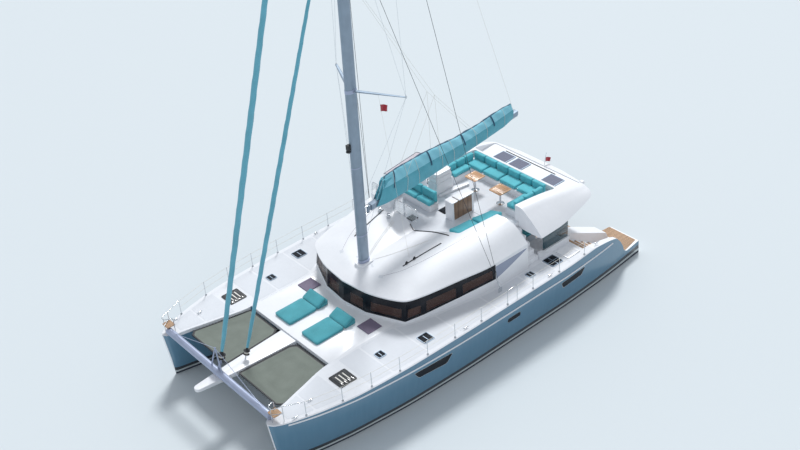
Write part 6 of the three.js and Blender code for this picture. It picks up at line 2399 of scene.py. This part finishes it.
@dataclass
class Bimini:
    """Sunshade over the helm: canvas on bent tube, with a dark binding."""

    fore: float = -0.95
    aft: float = -2.9
    inner: float = -0.9
    outer: tuple = (-1.95, -2.23)
    height: float = 5.1
    rise: float = 0.09
    # Columns: foot x, y, z, head x, y and share of the canvas's length from its fore edge
    legs: tuple = ((-0.82, -1.86, 4.041, -1.0, -1.86, 0.03), (-2.724, -2.15, 4.041, -2.8, -2.15, 0.97),
                   (-1.06, -1.0, 3.321, -1.01, -0.96, 0.03), (-2.68, -1.0, 3.321, -2.85, -0.96, 0.97))

    def point(self, along: float, across: float, drop: float = 0.0) -> Point:
        """Point of the canvas: shares of its length from the fore edge and of its breadth from the inner one.

        Args:
            along: share of the length.
            across: share of the breadth.
            drop: how far under the canvas.

        Returns:
            The point.
        """
        x = self.fore + (self.aft - self.fore) * along
        outer = self.outer[0] + (self.outer[1] - self.outer[0]) * along
        y = self.inner + (outer - self.inner) * across
        crown = self.rise * (1 - abs(2 * across - 1) ** 2.2)
        slack = 0.02 * math.sin(math.pi * along * 3) ** 2 * (1 - abs(2 * across - 1) ** 4)
        return (x, y, self.height + crown - slack - drop)

    def make(self) -> None:
        """Builds and places the canvas, its binding and its frame."""
        rows = np.array([[self.point(a, b) for b in np.linspace(0, 1, 25)] for a in np.linspace(0, 1, 33)])
        canvas = Form().grid(rows, AWNING, around=False, caps=False).built("bimini_canvas", sharp=60)
        thicken(canvas, 0.003, -1.0)
        edge = [rows[0][k] for k in range(25)] + [rows[k][-1] for k in range(1, 33)]
        edge += [rows[-1][k] for k in range(23, -1, -1)] + [rows[k][0] for k in range(31, -1, -1)]
        binding = tubes("bimini_binding", [edge], 0.014, AWNING_RIM, sides=8)
        hoops = []
        for x0, y0, z0, x1, y1, along in self.legs:
            head = self.point(along, (y1 - self.inner) / (self.outer[0] - self.inner) * 0.98, 0.02)
            hoops.append([(x0, y0, z0), (x1, y1, head[2])])
        bows = [[self.point(along, across, 0.017) for across in np.linspace(0.02, 0.98, 15)]
                for along in (0.03, 0.5, 0.97)]
        frame_tubes = tubes("bimini_frame", [*hoops, *bows], 0.016, STEEL, sides=10)
        place(canvas, ROOT, "bimini", ["bimini"])
        place(binding, ROOT, "bimini")
        place(frame_tubes, ROOT, "steel", ["bimini"])


@dataclass(frozen=True)
class Roll:
    """Furled foresail on its stay: the rolled cloth with its spiral edge, the drum and the bare stay over it."""

    node: str
    foot: Point
    head: Point
    radius: float
    drum: float
    turns: int
    # Length of the stay that is bare at its foot and at its head
    bare: Point = (0.36, 0.42)

    def make(self) -> None:
        """Builds and places the roll."""
        foot, head = Vector(self.foot), Vector(self.head)
        way, length = (head - foot).normalized(), (head - foot).length
        side = way.orthogonal().normalized()
        across = way.cross(side)
        low, high = self.bare[0], length - self.bare[1]
        thickness = [(low, 0.55), (1.2, 0.8), (length * 0.35, 1.0), (length * 0.75, 0.72), (high, 0.4)]

        def radius(distance: float) -> float:
            """Radius of the roll at a distance from its foot."""
            return self.radius * float(glide(thickness, distance)[0][0])

        form = Form()
        places = np.linspace(low, high, 90)
        rings = []
        for d in places:
            spin = 2 * math.pi * self.turns * d / length
            ring = []
            for a in np.linspace(0, 2 * math.pi, 24, endpoint=False):
                lap = 1 - 0.16 * (((a - spin) / (2 * math.pi)) % 1.0)
                centre = foot + way * d
                ring.append(tuple(centre + (side * math.cos(a) + across * math.sin(a)) * radius(d) * lap))
            rings.append(ring)
        form.grid(rings, ROLL)
        drum = self.drum
        form.turned([(0.014, 0.0), (0.014, 0.06), (drum * 0.5, 0.06), (drum, 0.09), (drum, 0.11), (drum * 0.55, 0.12),
                     (drum * 0.55, 0.21), (drum, 0.22), (drum, 0.24), (drum * 0.5, 0.27), (0.03, 0.37)],
                    self.foot, way, BLACK, 28)
        form.turned([(0.03, high - 0.02), (0.014, high + 0.1), (0.014, length)], self.foot, way, STEEL, 12)
        for d in (0.13, 0.155, 0.18):
            lap = [(drum * 0.6, d - 0.012), (drum * 0.66, d), (drum * 0.6, d + 0.012)]
            form.turned(lap, self.foot, way, ROPE, 20)
        place(form.built(f"{self.node}_roll", sharp=50), self.node, "furl", [self.node])


@dataclass
class Fittings:
    """Small fittings of the roof, the spars and the aft edge, each laid on what carries it."""

    spars: Spars
    # Ends of the port jib track, and which of its points carry cars
    track: tuple = ((1.16, 1.41), (-0.55, 1.66))
    track_points: int = 31
    cars: tuple = (3, 9)
    winches: tuple = ((-0.42, -1.2), (-0.42, -1.72))
    brow_line: tuple = ((1.95, 1.2), (1.2, 1.62), (0.2, 1.9), (-1.0, 2.1), (-1.9, 2.2))
    well_line: tuple = ((-0.64, 0.02), (-0.95, 0.85), (-1.05, 1.55))
    dome: tuple = (-7.6, 2.35)
    # How far down the halyard and up the staff the flags' upper corners are, as shares
    flag_drop: float = 0.06
    flag_rise: float = 0.62

    def laid(self, name: str, path: Iterable[Sequence[float]], lift: float, count: int = 14) -> list[Point]:
        """A line laid on a piece.

        Args:
            name: the piece that carries it.
            path: corners of the line, in x and y.
            lift: how far its middle lies over the surface.
            count: its points.

        Returns:
            The points of the line.
        """
        tree = tree_of(name)
        points = []
        for x, y in smooth_path([(x, y, 0.0) for x, y in path], count)[:, :2]:
            hit = tree.ray_cast(Vector((x, y, 6.0)), Vector((0, 0, -1)))[0]
            points.append((x, y, (hit.z if hit else 0.0) + lift))
        return points

    def spot(self, name: str, x: float, y: float, lift: float = 0.0) -> Point:
        """The point of a piece's upper face at a place, or a little over it."""
        return self.laid(name, [(x, y), (x + 0.01, y)], lift, 2)[0]

    def on_roof(self) -> None:
        """Jib tracks with their cars, winches, lines led aft and the seams of the roof."""
        form, flat = Form(), Form()
        for side in SIDES.values():
            ends = [(x, y * side) for x, y in self.track]
            points = self.laid("roof_moulding", ends, 0.0, self.track_points)
            for x, y, z in (points[k] for k in self.cars):
                form.box((x - 0.05, y - 0.03, z), (x + 0.05, y + 0.03, z + 0.07), BLACK)
                form.turned([(0.03, -0.012), (0.035, 0.0), (0.03, 0.012)], (x, y, z + 0.09), (0, 1, 0), BLACK, 14)
            line = self.laid("roof_moulding", ends, 0.0)
            flat.grid(np.array([[(x, y - 0.02, z - 0.01), (x, y + 0.02, z - 0.01), (x, y + 0.016, z + 0.022),
                                 (x, y - 0.016, z + 0.022)] for x, y, z in line]), BLACK)
        drum = [(0.085, 0.0), (0.085, 0.02), (0.06, 0.045), (0.055, 0.1), (0.075, 0.14), (0.07, 0.16), (0.03, 0.165)]
        for x, y in self.winches:
            form.turned(drum, self.spot("roof_moulding", x, y, -0.004), UP, STEEL, 28)
        place(form.join(flat).built("roof_hardware", 0.003), ROOT, "steel")
        led = []
        for y0, y1 in ((-0.14, -0.95), (-0.08, -0.86), (0.14, 1.1)):
            led.append(self.laid("roof_moulding", [(1.6, y0), (0.7, (y0 + y1) / 2), (-0.4, y1)], 0.012, 16))
        seams, edges = ([self.laid("roof_moulding", [(x, side * y) for x, y in line], lift, count)
                         for side in SIDES.values()]
                        for line, lift, count in ((self.brow_line, -0.002, 24), (self.well_line, 0.012, 10)))
        parts = [tubes("led", led, 0.006, ROPE, sides=6), tubes("seams", seams, 0.006, LID_GREY, sides=6),
                 tubes("edge", edges, 0.018, BLACK, sides=8)]
        place(merged("roof_lines", parts), ROOT, "sailbag")

    def aft_edge(self) -> None:
        """Rod along the aft edge of the hardtop, the staff and its plain flag."""
        rod = self.laid("hardtop_moulding", [(-7.3, -1.6), (-7.3, 1.2)], 0.016, 8)
        foot = self.spot("hardtop_moulding", -7.56, 0.35)
        top = (foot[0] - 0.12, foot[1], foot[2] + 0.52)
        place(merged("aft_staff", [tubes("rod", [rod], 0.014, BLACK), tubes("staff", [[foot, top]], 0.012, STEEL)]),
              ROOT, "steel")
        self.flag("aft_flag", tuple(a + (b - a) * self.flag_rise for a, b in zip(foot, top)), 0.34, 0.2)
        profile = [(0.1, 0.0), (0.1, 0.03), (0.115, 0.04), (0.112, 0.075), (0.085, 0.115), (0.03, 0.135)]
        dome = Form().turned(profile, self.spot("hardtop_moulding", *self.dome, -0.004), UP, WHITE, 32)
        place(dome.built("aft_dome"), ROOT, "gelcoat")

    def flag(self, name: str, corner: Point, length: float, height: float) -> None:
        """A limp plain flag.

        Args:
            name: its name.
            corner: its upper corner at the staff or halyard.
            length: its cut length.
            height: its cut height.
        """
        rows = []
        for up in np.linspace(0, 1, 13):
            row = []
            for out in np.linspace(0, 1, 17):
                wave = 0.03 * math.sin(out * 9 + up * 2) * out
                row.append((corner[0] - 0.86 * length * out, corner[1] + wave + 0.02 * out,
                            corner[2] - height * up - 0.35 * length * out ** 1.4))
            rows.append(row)
        cloth = Form().grid(rows, FLAG_RED, around=False, caps=False).built(name, sharp=70)
        place(thicken(cloth, 0.002), ROOT, "furl")

    def aloft(self) -> None:
        """Lazy jacks and topping lift on the boom, and the halyard with its flag under the port spreader."""
        spars, pin, slope = self.spars, SailBag.pin, SailBag.rise

        def boom(x: float, y: float, rise: float) -> Point:
            """Point over the boom at a distance from its pin."""
            return (pin[0] + x, y, pin[2] - x * slope + rise)

        lines = [[(1.44, 0.0, 28.64), boom(-7.6, 0.0, 0.13)]]
        for side in SIDES.values():
            knot = (-1.9, side * 0.2, 8.9)
            lines += [[(1.44, side * 0.06, 14.5), knot]]
            lines += [[knot, boom(x, side * y, 0.36)] for x, y in ((-1.6, 0.25), (-3.4, 0.26), (-5.4, 0.23))]
        place(tubes("lazy_jacks", lines, 0.005, ROPE, sides=6), "boom", "sailbag")
        z, reach, sweep = spars.spreaders[0]
        hang = (spars.axis(z) - sweep * 0.5, reach * 0.5, z + 0.03)
        low = self.spot("roof_moulding", 0.7, 1.25)
        place(tubes("flag_halyard", [[hang, low]], 0.004, ROPE, sides=6), ROOT, "wire")
        corner = tuple(a + (b - a) * self.flag_drop for a, b in zip(hang, low))
        self.flag("halyard_flag", corner, 0.34, 0.26)

    def fore_hatches(self) -> None:
        """Foredeck hatches: a dark frame round four panes, with three pale bars between them."""
        x0, y0, z0, x1, y1, z1 = node_box("fore_hatch_port")
        form = Form().prism(rectangle((x0 + x1) / 2, (y0 + y1) / 2, x1 - x0, y1 - y0, 0.05), (z0, z1 - 0.006), BLACK)
        count, rim, bar = 4, 0.07, 0.045
        wide = (x1 - x0 - 2 * rim - (count - 1) * bar) / count
        for k in range(count):
            low = x0 + rim + k * (wide + bar)
            outline = rectangle(low + wide / 2, (y0 + y1) / 2, wide, y1 - y0 - 2 * rim, 0.02)
            form.prism(outline, (z1 - 0.008, z1 - 0.001), HATCH)
            if k:
                form.box((low - bar, y0 + rim * 2, z1 - 0.008), (low, y1 - rim * 2, z1), ROPE)
        place_pair(form.built("fore_hatch_panes", 0.002), "fore_hatch_panes", "glass", ["fore_hatch"], "fore_hatch")

    def make(self) -> None:
        """Builds and places all of them."""
        self.fore_hatches()
        self.on_roof()
        self.aft_edge()
        self.aloft()


# Plain copies of the frame's rigid nodes, with eased edges

@dataclass(frozen=True)
class Copy:
    """How one rigid node is finished: its finish, slot, eased edge and body."""

    node: str
    finish: Finish
    slot: str
    bevel: float = 0.0
    body: str = ROOT

    def make(self) -> Piece:
        """Makes the piece that stands for the node."""
        piece = copied(self.node, f"{self.node}_shell", self.finish, self.bevel)
        return place(piece, self.body, self.slot, [self.node])


def pair(node: str, finish: Finish, slot: str, bevel: float = 0.0, moving: bool = False) -> list[Copy]:
    """The same copy to port and to starboard; a moving pair rides on bodies of its own names."""
    return [Copy(f"{node}_{side}", finish, slot, bevel, f"{node}_{side}" if moving else ROOT) for side in SIDES]


RIGID: list[Copy] = [
    *pair("engine", ENGINE, "engine", 0.03),
    *pair("saildrive", ANODISED, "alloy", 0.004),
    *pair("rudder", SHADED_TOPSIDE, "hull_paint", 0.004, True),
    *pair("propeller", BRONZE, "bronze", 0.002, True),
    *pair("engine_lid", WHITE, "gelcoat", 0.008, True),
    *pair("locker_lid", LID_GREY, "lid", 0.008, True),
    Copy("bridgedeck", WHITE, "gelcoat", 0.012),
    Copy("longeron", WHITE, "gelcoat", 0.03),
    Copy("crossbeam", BEAM_ALLOY_SHADE_TINT, "alloy"),
    Copy("saloon_walls", WHITE, "gelcoat", 0.004),
    Copy("bulkhead", WHITE, "gelcoat", 0.006),
    Copy("galley", TABLE_WOOD, "wood", 0.01),
    *pair("stairs", WHITE, "gelcoat", 0.012),
    *pair("side_screen", TEAL_PANE, "tint", 0.004),
    Copy("cockpit_table", TABLE_WOOD, "wood", 0.008),
    Copy("bulkhead_pane", SMOKED, "glass", 0.002),
    Copy("sliding_door", SMOKED, "glass", 0.006, "saloon_door"),
    Copy("stern_platform", TEAK, "teak", 0.012, "platform"),
    Copy("boom", ANODISED, "alloy", 0.012, "boom"),
    Copy("steering_wheel", STEEL, "steel", 0.0, "wheel"),
]


def main() -> None:
    """Builds the camera, the studio and every piece, in that order."""
    View().make()
    Studio().make()
    hulls = Hulls()
    hulls.make()
    DeckFittings(hulls).make()
    Roof().make()
    Spars().make()
    SailBag().make()
    Nets().make()
    Glazing().make()
    Hardtop().make()
    for place_to_sit in lounge():
        place_to_sit.make()
    Flybridge().make()
    Bimini().make()
    Roll("genoa", (8.42, 0.0, 2.56), (1.64, 0.0, 23.8), 0.11, 0.148, 26).make()
    Roll("jib", (7.44, 0.0, 2.13), (1.79, 0.0, 17.2), 0.09, 0.119, 20).make()
    Fittings(Spars()).make()
    for copy in RIGID:
        copy.make()


if __name__ == "__main__":
    main()
